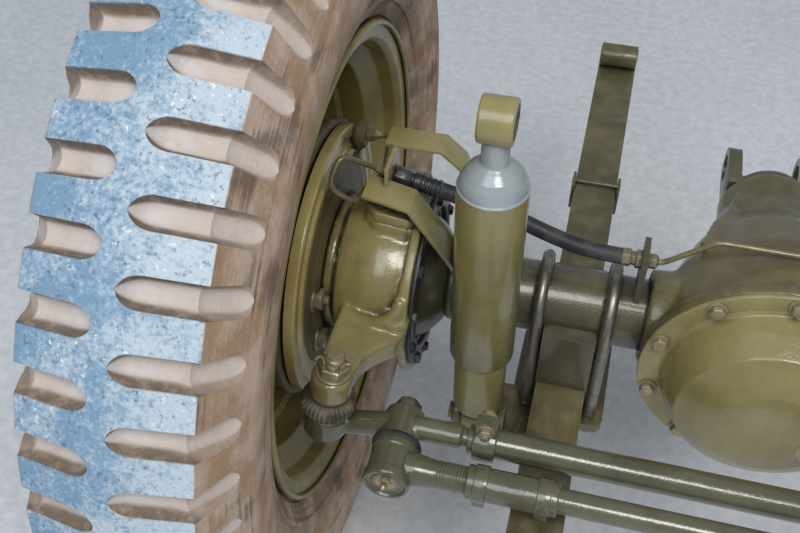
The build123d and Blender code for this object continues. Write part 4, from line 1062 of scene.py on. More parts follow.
# Places and directions that several pieces share, as in the CAD frame's left end.
WHEEL_X = 612.8
KINGPIN_X = 515.0
LEAN, CASTER = tan(radians(7.5)), tan(radians(3))
KINGPIN = frame_at((KINGPIN_X, 0, 0), (-LEAN, CASTER, 1), (1, 0, LEAN))
ARM_EYE = (10.0, -150.0)
OUTWARD = frame_at((0, 0, 0), (1, 0, 0), (0, 1, 0))
DOWN = frame_at((0, 0, 0), (0, 0, -1))

# Distance within which the copies of a repeated sector join.
SEAM = 0.01


def facing(x: float, y: float, z: float, direction: Point) -> Matrix:
    """Frame at a point with Z along a direction."""
    return frame_at((x, y, z), direction)


def at_eye(height: float = 0.0) -> Matrix:
    """Frame on the steering arm's eye, at a height along the kingpin's direction."""
    return KINGPIN @ Matrix.Translation((*ARM_EYE, height))


# Passes that soften a recast surface, and degrees from which an edge is bevelled.
SOFTENING_PASSES = 6
BEVEL_FROM = 32


@dataclass
class Assembly:
    """A sub-assembly, drawn at the left end and mirrored for the right one."""

    side: Side

    def add(self, name: str, solid: Solid, finish: Finish, body: str, replaces: Sequence[str] = (),
            bevel: float = 0.0, recast: float = 0.0, angle: float = 38,
            turn_out: bool = True) -> bpy.types.Object:
        """Make one piece of the scene.

        Args:
            name: Its name, without the side.
            solid: Its shape at the left end.
            finish: Its finish.
            body: The body that it rides on; an ending underscore takes the side's word.
            replaces: CAD nodes that it stands for, with the same rule.
            bevel: Rounding of its sharp edges, mm.
            recast: Voxel size of a cast surface, mm, or 0.
            angle: Faces that meet at a smaller angle shade smoothly.
            turn_out: Whether its shells are turned outward.

        Returns:
            The object.
        """
        right = self.side is Side.RIGHT
        shape = solid.mirrored() if right else solid
        thing = linked(f"{name}_{self.side.word}", shape.mesh(name, turn_out))
        if recast:
            remesh = thing.modifiers.new("recast", "REMESH")
            remesh.mode = "VOXEL"
            remesh.voxel_size = recast * MM
            soften = thing.modifiers.new("soften", "SMOOTH")
            soften.factor = 0.5
            soften.iterations = SOFTENING_PASSES
        if bevel:
            edge = thing.modifiers.new("edges", "BEVEL")
            edge.width = bevel * MM
            edge.segments = 2
            edge.limit_method = "ANGLE"
            edge.angle_limit = radians(BEVEL_FROM)
        if thing.modifiers:
            raw = thing.data
            thing.data = evaluated(thing)
            bpy.data.meshes.remove(raw)
        thing.data.name = thing.name
        thing.data.materials.clear()
        thing.data.materials.append(finish.material())
        thing.data.shade_smooth()
        if not recast:
            thing.data.set_sharp_from_angle(angle=radians(angle))
        if body:
            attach(thing, self.named(body))
        if replaces:
            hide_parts(*(self.named(node) for node in replaces))
        log.info("%s: %d faces on %s", thing.name, len(thing.data.polygons), self.named(body))
        return thing

    def copy(self, name: str, node: str, finish: Finish, body: str, **options: Any) -> None:
        """Make a piece with a CAD node's own shape.

        Args:
            name: Its name, without the side.
            node: The node that it copies and replaces.
            finish: Its finish.
            body: The body that it rides on.
            options: As for add.
        """
        self.add(name, self.node(node), finish, body, (node,), turn_out=False, **options)

    def named(self, word: str) -> str:
        """A body's or node's name at this end."""
        return word + self.side.word if word.endswith("_") else word

    def node(self, word: str) -> Solid:
        """Copy of a CAD node, as at the left end."""
        solid = Solid.from_node(self.named(word))
        return solid.mirrored() if self.side is Side.RIGHT else solid


# The wheel


@dataclass
class Tyre(Assembly):
    """Tyre with finger-shaped grooves between its lugs, its two halves staggered."""

    pitches: int = 47
    phase: float = -2.14
    half_share: float = 0.45
    depth: float = 13.0
    tip_length: float = 15.0
    ramp_length: float = 11.0
    exit_length: float = 13.0
    fade_lead: float = 6.0
    turn_lead: float = 30.0
    turn_length: float = 46.0
    turn_angle: float = 66.0
    tip_shape: tuple[float, float] = (2.1, 0.62)
    fade_shape: tuple[float, float] = (1.7, 0.9)
    least_width: float = 0.8
    least_sink: float = 0.4
    columns: int = 20
    crown: tuple = ((359.0, 0), (358.75, 6), (358.7, 6.5), (358.6, 7.5), (358.45, 9.5),
                    (358.1, 12.5), (357.6, 16.5), (356.9, 21), (355.8, 27), (354.6, 34),
                    (353.2, 41), (351.9, 48), (350.8, 54), (350.1, 57.5), (349.6, 60))
    buttress: tuple = ((348.9, 60.9), (346.6, 61.8), (343.0, 63.2), (338.5, 65.2), (333.5, 67.4),
                       (328.5, 69.3), (323.5, 71.0), (318.5, 72.6), (314.5, 73.8), (311.5, 74.7),
                       (309.3, 75.3))
    wall: tuple = ((303, 77), (300.6, 77.8), (299.8, 76.9), (297.5, 78.3), (292, 79.3), (282, 79.5),
                   (272, 78.7), (262, 77.1), (254, 75.1), (247, 72.8), (241, 70.2), (239.4, 70.5),
                   (236.6, 69.5), (235.4, 67.2), (231, 64.9), (226.5, 62.2), (223.2, 60.3),
                   (222.4, 57.4), (214, 55.6), (205, 55.0), (203.2, 52.8), (203.2, 39.5), (212, 42),
                   (225, 49), (245, 60), (262, 66), (285, 67.4), (305, 64.5), (320, 57), (327, 42),
                   (329.5, 24), (330, 8))
    profile: tuple = ((1.0, 0.0), (0.965, 0.2), (0.84, 0.62), (0.64, 0.87), (0.34, 0.97),
                      (0.0, 1.0))

    def grooves(self) -> list[tuple[float, float, float]]:
        """Half width of the groove under each row of crown and buttress, and its floor's depth.

        Returns:
            Half width, drop in radius and move inward, in mm, for each row.
        """
        line = [Vector(point) for point in self.crown + self.buttress]
        tip = 1
        far = [0.0]
        for before, after in zip(line, line[1:]):
            far.append(far[-1] + (after - before).length)
        length = far[-1] - far[tip]
        shoulder = far[len(self.crown) - 1] - far[tip]
        half = pi * self.crown[0][0] / self.pitches * self.half_share
        (fullness, blunt), (late, round_off) = self.tip_shape, self.fade_shape
        result = [(0.0, 0.0, 0.0)]
        for place in far[1:]:
            along = place - far[tip]
            entry = min(1.0, along / self.tip_length)
            leaving = min(1.0, (length - along) / self.exit_length)
            width = half * (1 - (1 - entry) ** fullness) ** blunt * sqrt(1 - (1 - leaving) ** 2)
            sink = self.depth * (1 - (1 - min(1.0, along / self.ramp_length)) ** 2)
            past = along - shoulder + self.fade_lead
            past = min(1.0, max(0.0, past / (length - shoulder + self.fade_lead)))
            sink *= (1 - past ** late) ** round_off
            turn = min(1.0, max(0.0, (along - shoulder + self.turn_lead) / self.turn_length))
            angle = radians(self.turn_angle) * turn * turn * (3 - 2 * turn)
            result.append((max(width, self.least_width), sink * cos(angle), sink * sin(angle)))
        return result

    def station(self, column: int, half: float, pitch: float, near: bool) -> tuple[float, float]:
        """Angle and depth share of one column.

        Args:
            column: Its number, from the pitch's middle.
            half: The groove's half angle.
            pitch: The pitch's angle.
            near: Whether the groove lies in the pitch's middle, rather than at its edges.

        Returns:
            The angle and the share of the groove's depth.
        """
        sign = -1 if column < 0 else 1
        step = abs(column)
        edge = self.columns // 4
        if near and step <= edge:
            reach, sunk = self.profile[edge - step]
            return sign * reach * half, sunk
        if near:
            return sign * (half + (step - edge) / edge * (pitch / 2 - half)), 0.0
        if step >= edge:
            reach, sunk = self.profile[step - edge]
            return sign * (pitch / 2 - reach * half), sunk
        return column / edge * (pitch / 2 - half), 0.0

    def sector(self) -> Solid:
        """One pitch of the tyre about Z, open at its two cut faces.

        Returns:
            The open shell with its marks.
        """
        pitch = 2 * pi / self.pitches
        tread = list(self.crown) + list(self.buttress)
        grooves = self.grooves()
        rows = [(index, point, 1) for index, point in enumerate(tread + list(self.wall))]
        rows += [(index, point, -1) for index, point, _ in reversed(rows[1:])]
        points: list[Vector] = []
        lines: list[list[int]] = []
        marks: dict[str, list[float]] = {mark: [] for mark in MARKS}
        for index, (radius, across), side in rows:
            carved = index < len(tread)
            width, drop, inward = grooves[index] if carved else (0.0, 0.0, 0.0)
            line = []
            last = self.columns // 2
            for column in range(-last, last + 1, 1 if carved else self.columns // 4):
                angle, sunk = column / self.columns * pitch, 0.0
                if carved and index:
                    angle, sunk = self.station(column, width / radius, pitch, side > 0)
                now_radius, now_across = radius - drop * sunk, side * (across - inward * sunk)
                line.append(len(points))
                points.append(
                    Vector((now_radius * cos(angle), now_radius * sin(angle), now_across)))
                inside = (drop + inward) * sunk > self.least_sink
                marks["face"].append(1.0 if index < len(self.crown) and not inside else 0.0)
                marks["floor"].append(sunk)
                marks["groove"].append(1.0 if inside else 0.0)
            lines.append(line)
        faces = []
        for line, below in zip(lines, lines[1:] + lines[:1]):
            steps = min(len(line), len(below)) - 1
            wide, deep = (len(line) - 1) // steps, (len(below) - 1) // steps
            for step in range(steps):
                top = line[step * wide:(step + 1) * wide + 1]
                foot = below[step * deep:(step + 1) * deep + 1]
                faces.append((*top, *reversed(foot)))
        return Solid(points, faces, marks)

    def dress(self) -> None:
        """Make the tyre."""
        whole = ring(self.sector(), self.pitches, TREAD, joined=SEAM)
        turn = Matrix.Rotation(radians(self.phase), 4, "Z")
        place = Matrix.Translation((WHEEL_X, 0, 0)) @ OUTWARD @ turn
        self.add("tyre_dressed", whole.placed(place), TREAD, "wheel_", ("tyre_",), angle=30)


@dataclass
class Wheel(Assembly):
    """Rim, disc, drum and hub."""

    steps: int = 128
    stud_circle: float = 69.85
    half_width: float = 57.15
    seat: float = 202.8
    well: float = 184.0
    flange: float = 221.0
    sheet: float = 4.0
    disc_x: float = 28.2

    def rim(self) -> Solid:
        """Drop-centre rim with its disc, about Z from the wheel's centre plane.

        Returns:
            The solid.
        """
        half, seat, well = self.half_width, self.seat, self.well
        flange, disc_x = self.flange, self.disc_x
        under_seat, under_well = seat - self.sheet, well - self.sheet
        outer = [(215.5, -half - 8.5), (219, -half - 8), (flange, -half - 4), (220.6, -half + 0.5),
                 (208, -half + 0.5), (seat, -half + 5), (seat, -half + 19), (well, -half + 33),
                 (well, half - 43), (seat, half - 21), (seat, half - 5), (208, half - 0.5),
                 (220.6, half - 0.5), (flange, half + 4), (219, half + 8), (215.5, half + 8.5)]
        inner = [(214.5, half + 5), (217.5, half + 3.6), (204, half + 2.6), (under_seat, half - 3),
                 (under_seat, half - 19), (under_well, half - 40), (under_well, -half + 30),
                 (under_seat, -half + 17), (under_seat, -half + 3), (204, -half - 2.6),
                 (217.5, -half - 3.6), (214.5, -half - 5)]
        disc = [(42, disc_x), (95, disc_x), (98, disc_x), (114, disc_x + 12), (137, disc_x + 12),
                (165, disc_x - 2), (175.5, disc_x - 12), (175.5, disc_x - 28), (181, disc_x - 28),
                (181, disc_x - 9), (168, disc_x + 3), (139, disc_x + 17), (112, disc_x + 17),
                (96, disc_x + 5), (42, disc_x + 5)]
        weld = [(181.5, disc_x - 31), (176.5, disc_x - 28.5), (176.5, disc_x - 26),
                (181.5, disc_x - 26)]
        return (Solid.lathe(rounded(outer + inner, 3.5, 2), self.steps)
                + Solid.lathe(rounded(disc, 3, 3), self.steps) + Solid.lathe(weld, self.steps))

    def drum(self) -> Solid:
        """Cast drum with a bead and a cooling rib at its open edge.

        Returns:
            The solid.
        """
        outline = [(114.3, 575.5), (124.2, 575.5), (129, 577.6), (129, 583.5), (125, 587),
                   (125, 598), (127, 600), (127, 603), (125, 605), (125, 629), (117, 641),
                   (38.4, 641), (38.4, 636), (106, 636), (114.3, 628)]
        return Solid.lathe(rounded(outline, 1.6, 2), self.steps)

    def hub(self) -> Solid:
        """Hub barrel, flange, nose and driving flange.

        Returns:
            The solid.
        """
        barrel = [(21.4, 579), (38, 579), (38, 622), (44, 628), (84, 628), (84, 635.9), (38, 635.9),
                  (35, 646), (35, 692), (21.4, 692)]
        flange = [(12, 692), (44, 692), (44, 701), (28, 701), (26, 707), (14, 713.5), (0, 714),
                  (0, 710), (12, 708)]
        return Solid.lathe(rounded(barrel, 1.5, 2), 72) + Solid.lathe(rounded(flange, 1.2, 2), 72)

    def dress(self) -> None:
        """Make the wheel's metal pieces."""
        centre = Matrix.Translation((WHEEL_X, 0, 0)) @ OUTWARD
        self.add("rim_dressed", self.rim().placed(centre), RIM_PAINT, "wheel_", ("wheel_rim_",))
        self.add("drum_dressed", self.drum().placed(OUTWARD), IRON, "wheel_", ("brake_drum_",))
        nut = Solid.lathe([(0, 0), (10.8, 0), (10.8, 11), (8, 14), (0, 14)], 6)
        stud = thread(6.2, 0, 22)
        cone = Solid.lathe([(0, -3), (9, -3), (12, 1.5), (0, 1.5)], 24)
        fixings = (nut + stud + cone).moved(self.stud_circle, 0, 646)
        drive = bolt(5.6, 4.5, 1.0).moved(36.5, 0, 701)
        hub = (self.hub().placed(OUTWARD) + ring(fixings, 5, STEEL, OUTWARD, 90)
               + ring(drive, 6, STEEL, OUTWARD, 30))
        self.add("hub_dressed", hub, OLIVE, "wheel_", ("wheel_hub_",))


@dataclass
class Brake(Assembly):
    """Backing plate with its adjusters, and the steel pipe up to it."""

    radius: float = 126.0
    adjusters: tuple = ((-63.0, 13.0), (-63.0, -40.0))
    cylinder: tuple = (100.0, 0.9)
    pipe_radius: float = 2.4
    pipe_bend: float = 17.0
    fitting: tuple = ((509.5, 5.0, 110.5), (486.0, 5.0, 105.0), (470.0, 5.0, 101.26))
    loop: tuple = ((512.5, 5.0, 111.2), (527.0, 0.0, 119.0), (548.0, -24.0, 147.0),
                   (556.0, -34.0, 118.0), (534.0, -27.0, 99.5), (522.0, 16.0, 101.0),
                   (530.0, 72.0, 96.5), (551.0, 72.0, 92.0))

    def rim(self) -> Solid:
        """Turned rim of the pressed plate with its shield ring.

        Returns:
            The solid.
        """
        r = self.radius
        outline = [(97, 566), (97, 565), (98, 565), (101, 562.5), (107, 562.5), (110, 565),
                   (114, 565), (118, 563), (r - 1, 563), (r, 564.5), (r, 573), (r - 3, 573),
                   (r - 3, 566), (118, 566), (113, 568), (97, 568)]
        return Solid.lathe(rounded(outline, 1.5, 2), 144, OUTWARD)

    def plate(self) -> Solid:
        """Plate inside the rim, with the wheel cylinder's boss.

        Returns:
            The solid.
        """
        outline = [(44, 560), (66, 560), (74, 565), (98, 565), (98, 568), (73, 568), (65, 563),
                   (44, 563)]
        boss = Solid.lathe(rounded([(0, 0), (15, 0), (15, -5), (11, -11), (0, -11)], 2, 2), 32)
        return (Solid.lathe(rounded(outline, 1.5, 2), 96, OUTWARD)
                + boss.placed(facing(563, 72, 92, (1, 0, 0))))

    def fixings(self) -> Solid:
        """Adjuster bolts, flange bolts and the cylinder's bolts.

        Returns:
            The solid.
        """
        tip = [(0, 9), (4.5, 9), (4.5, 13), (3.8, 14), (0, 14)]
        head = bolt(10.5, 7.5, 2.0) + Solid.lathe(tip, 6)
        solid = Solid()
        for y, z in self.adjusters:
            solid += head.placed(facing(565, y, z, (-1, 0, 0)))
        flange = bolt(6.2, 5.0, 1.4).placed(DOWN).moved(55, 0, 552.4)
        solid += ring(flange, 6, STEEL, OUTWARD, 15)
        far, angle = self.cylinder
        for turn in (-0.2, 0.2):
            place = facing(565, far * cos(angle + turn), far * sin(angle + turn), (-1, 0, 0))
            solid += bolt(5.4, 4.2, 1.2).placed(place)
        return solid

    def pipe(self) -> Solid:
        """Loop of steel pipe with its flare nuts.

        Returns:
            The solid.
        """
        pipe = Solid.tube(rounded(self.loop, self.pipe_bend, 8, closed=False), self.pipe_radius, 14)
        nut = Solid.lathe([(0, 0), (5.9, 0), (5.9, 8), (4.6, 9), (3.2, 14), (0, 14)], 6)
        for end, following in (self.loop[:2], self.loop[:-3:-1]):
            pipe += nut.placed(facing(*Vector(end), Vector(following) - Vector(end)))
        return pipe

    def hose_end(self) -> Solid:
        """Hexagonal fitting, collars and crimped ferrule at the hose's outer end.

        Returns:
            The solid.
        """
        start, middle, end = (Vector(point) for point in self.fitting)
        along = facing(*start, middle - start)
        length = (middle - start).length
        fitting = Solid.lathe([(0, 1), (8.4, 1), (8.4, length * 0.55), (7.2, length * 0.62),
                               (0, length * 0.62)], 6)
        collar = [(0, length * 0.6), (6.2, length * 0.6), (6.2, length * 0.7), (8.2, length * 0.72),
                  (8.2, length * 0.98), (0, length * 0.98)]
        fitting = (fitting + Solid.lathe(collar, 28)).placed(along)
        full = (end - middle).length
        profile = [(0, -1.5), (6.8, -1.5), (7.9, 0)]
        for turn in range(3):
            low = full * (0.12 + 0.28 * turn)
            profile += [(7.9, low), (7.1, low + 0.9), (7.1, low + 2.0), (7.9, low + 2.9)]
        profile += [(7.9, full - 0.8), (7.3, full), (0, full)]
        return fitting + Solid.lathe(profile, 28, facing(*middle, end - middle))

    def dress(self) -> None:
        """Make the brake's pieces on the knuckle."""
        # The plate's rim takes the lighter enamel as painted highlight.
        self.add("backing_plate_dressed", self.rim(), LIT_PLATE_OLIVE, "knuckle_", ("backing_plate_",))
        # The disc inside the wheel takes the darkened enamel as painted shade.
        self.add("backing_disc_dressed", self.plate(), SHADED_GRIMY_OLIVE, "knuckle_", ("backing_plate_",))
        self.add("backing_fixings", self.fixings(), WORN_BRASS, "knuckle_", bevel=0.4)
        self.add("knuckle_pipe_dressed", self.pipe(), PIPE_STEEL, "knuckle_",
                 ("brake_pipe_knuckle_",))
        self.add("hose_end_dressed", self.hose_end(), BLACKENED, "knuckle_",
                 ("brake_pipe_knuckle_",), bevel=0.3)


@dataclass
class Hose(Assembly):
    """Brake hose from the knuckle's fitting to the bracket on the axle."""

    route: tuple = ((469.6, 5.0, 101.17), (438.0, 5.0, 93.77), (404.0, 9.0, 80.0),
                    (370.0, 6.0, 69.0), (338.0, 0.0, 66.0), (312.0, 0.0, 66.0))
    radius: float = 7.0
    length: float = 0.1635

    def dress(self) -> None:
        """Make the hose as a mesh tube along its spline."""
        sign = self.side.value
        curve = bpy.data.curves.new("hose_line", "CURVE")
        curve.dimensions = "3D"
        curve.resolution_u = 12
        spline = curve.splines.new("NURBS")
        spline.points.add(len(self.route) - 1)
        for point, (x, y, z) in zip(spline.points, self.route):
            point.co = (sign * x * MM, y * MM, z * MM, 1)
        spline.order_u = 3
        spline.use_endpoint_u = True
        carrier = linked("hose_line", curve)
        bpy.context.view_layer.update()
        line = bpy.data.meshes.new_from_object(carrier)
        path = [vertex.co.copy() for vertex in line.vertices]
        bpy.data.objects.remove(carrier)
        bpy.data.meshes.remove(line)
        tube = Solid.tube([point / MM for point in path], self.radius, 28)
        shape = tube.mirrored() if self.side is Side.RIGHT else tube
        hose = self.add("hose_dressed", shape, HOSE, "", ("brake_hose_",))
        self.named("knuckle_")
        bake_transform(hose)


# Knuckle and linkage


@dataclass
class Knuckle(Assembly):
    """Knuckle casting with its caps, seal ring and hose guard."""

    rim_bolts: int = 12
    cap_bolts: tuple = ((-16, 21), (16, 21), (-16, -21), (16, -21))
    cap_height: float = 93.0

    def casting(self) -> Solid:
        """CAD shape with a web under the arm, a gusset to the rim and a thick eye, to be recast.

        Returns:
            The solid.
        """
        body = self.node("knuckle_")
        web = [(0, 0), (-84, 0), (-84, -5), (-34, -16), (0, -30)]
        place = KINGPIN @ Matrix.Translation((9, -64, -2)) @ Matrix.Rotation(pi / 2, 4, "Y")
        body += Solid.prism([(-z, y) for y, z in web], -7, 7, place)
        root = [(-36, -52), (-36, -90), (-31, -99), (-19, -112), (-6, -132), (2, -120), (2, -60)]
        body += Solid.prism(root, -5.4, 18.4, KINGPIN)
        fillet = [(-36, -60), (-36, -87), (-26, -93), (-13, -90), (-13, -60)]
        body += Solid.prism(fillet, 10, 26, KINGPIN)
        gusset = [(-60, 62), (-70, 53), (-77.5, 42), (-83, 30), (-88, 18), (-92, 8), (-60, 8)]
        place = (Matrix.Translation((KINGPIN_X, 0, 0))
                 @ frame_at((-36.5, 0, 0), (1, 0, 0), (0, 1, 0)))
        body += Solid.prism(gusset, 0, 9, place)
        ridge = [(-25, -77, 44), (-23, -83, 33), (-17, -87, 25), (-6, -87.5, 19.6), (8, -85, 17.4),
                 (22, -79, 16.6)]
        body += Solid.tube(ridge, (5.4, 5.6, 5.4, 4.8, 4.2, 4.0), 12).placed(KINGPIN)
        boss = [(0, -6.4), (15.8, -6.4), (17.3, -4.8), (17.3, 16.6), (14.6, 19.3), (0, 19.3)]
        return body + Solid.lathe(boss, 40, at_eye())

    def rims(self) -> Solid:
        """Rounded edge of the flange that carries the seal."""
        outline = [(80, 478.3), (87.6, 478.3), (88, 479.2), (88, 484.4), (87.2, 485.2), (80, 485.2)]
        return Solid.lathe(rounded(outline, 0.8, 2), 120, OUTWARD)

    def seal(self) -> Solid:
        """Split retainer ring with its lip and bolts.

        Returns:
            The solid.
        """
        outline = [(65, 478), (81.5, 478), (81.8, 474.6), (80, 474), (70, 474), (67, 472.4),
                   (64.5, 474), (64.5, 477)]
        retainer = Solid.lathe(rounded(outline, 0.8, 2), 120)
        head = bolt(5.0, 3.2, 0.6).placed(DOWN).moved(75.5, 0, 474)
        return (retainer + ring(head, self.rim_bolts, STEEL, None, 12)).placed(OUTWARD)

    def caps(self) -> Solid:
        """Bolts of the two kingpin caps.

        Returns:
            The solid.
        """
        solid = Solid()
        for sign in (1, -1):
            for x, y in self.cap_bolts:
                place = KINGPIN @ frame_at((x, y, sign * self.cap_height), (0, 0, sign))
                solid += bolt(6.4, 5.0, 1.6).placed(place)
        return solid

    def dress(self) -> None:
        """Make the knuckle's pieces."""
        self.add("knuckle_dressed", self.casting(), KNUCKLE, "knuckle_", ("knuckle_",), recast=2.0,
                 turn_out=False)
        self.add("knuckle_rim", self.rims(), KNUCKLE, "knuckle_")
        self.add("seal_ring_dressed", self.seal(), BLACKENED, "knuckle_", ("seal_ring_",))
        self.copy("kingpin_caps_dressed", "kingpin_caps_", OLIVE, "knuckle_", bevel=1.6)
        self.add("cap_bolts", self.caps(), STEEL, "knuckle_", bevel=0.3)
        self.copy("hose_guard_dressed", "hose_guard_", OLIVE, "knuckle_", bevel=0.7)


@dataclass
class ArmStud(Assembly):
    """Ball stud's castle nut with its washer and split pin."""

    top: float = 19.5
    radius: float = 13.3
    slots: int = 6
    slot_share: float = 0.19

    def dress(self) -> None:
        """Make the stud's pieces."""
        place = at_eye(self.top)
        body = [(0, 2), (self.radius - 1, 2), (self.radius, 3), (self.radius, 10.5),
                (self.radius - 1.6, 11.6), (0, 11.6)]
        nut = Solid.lathe(body, 6)
        nut += Solid.lathe([(0, 0), (14.5, 0), (14.5, 1.7), (13.8, 2.1), (0, 2.1)], 40)
        half = (0.5 - self.slot_share) * 2 * pi / self.slots
        merlon = arc((0, 0), (10.7, 10.7), -half, half, 5) + arc((0, 0), (8.1, 8.1), half, -half, 5)
        crown = ring(Solid.prism(merlon, 11.0, 17.0), self.slots, WORN_BRASS, None, 30)
        stud = thread(7.9, -3, 20) + Solid.lathe([(0, 19), (7, 19), (6.2, 21.6), (0, 22)], 24)
        self.add("castle_nut", (nut + crown).placed(place), WORN_BRASS, "knuckle_", ("arm_stud_",),
                 bevel=0.35)
        pin = rounded([(-13.5, 3, 14), (-12, 0, 14), (12, 0, 14), (15, 0.5, 12), (16, 4, 8)], 2, 3,
                      closed=False)
        pin = (Solid.tube(pin, 1.35, 10)
               + Solid.tube([(10, -0.8, 14.4), (13, -2, 15.5), (14.5, -6, 15)], 1.2, 8))
        self.add("split_pin", (stud + pin).placed(place), WORN_BRASS, "knuckle_", ("arm_stud_",))
        ball = Solid.lathe([(0, -71), (7, -70), (11, -61), (7, -53), (6.5, -50), (8, -26), (8, -17),
                            (0, -17)], 24)
        self.add("ball_stud", ball.placed(place), STEEL, "knuckle_", ("arm_stud_",))


@dataclass
class TieRod(Assembly):
    """Tie rod's end with its socket, shank and clamp."""

    top: float = -26.5
    height: float = 30.0

    def socket_trim(self) -> Solid:
        """Rolled lip, bottom plug and grease nipple of the socket.

        Returns:
            The solid.
        """
        lip = [(11, self.top - 1), (15, self.top - 1), (17.5, self.top - 2), (18.3, self.top - 6),
               (11, self.top - 6)]
        low = self.top - self.height
        plug = [(0, low - 1), (10.5, low - 1), (12, low + 0.8), (12, low + 4), (0, low + 4)]
        solid = Solid.lathe(rounded(lip, 1, 2), 40) + Solid.lathe(rounded(plug, 0.8, 2), 32)
        solid += nipple().placed(frame_at((0, 0, low - 0.8), (0, 0, -1)))
        return solid.placed(at_eye())

    def clamp(self) -> Solid:
        """Clamp bolt through the tube's lugs.

        Returns:
            The solid.
        """
        bar = Solid.lathe(section(0, 3.6, -13, 14), 16)
        head = (bolt(6.2, 4.6, 1.2).moved(0, 0, 6)
                + bolt(6.2, 5.0, 1.2).placed(frame_at((0, 0, -6), (0, 0, -1))))
        return (bar + head).placed(facing(394, -150, 0.5, (0, -1, 0)))

    def dress(self) -> None:
        """Make the tie rod's end."""
        self.copy("tie_rod_end_dressed", "tie_rod_end_", LINKAGE, "tie_rod", recast=1.3)
        self.add("socket_trim", self.socket_trim(), LINKAGE_TRIM, "tie_rod")
        self.add("clamp_bolts", self.clamp(), WORN_BRASS, "tie_rod", bevel=0.3)


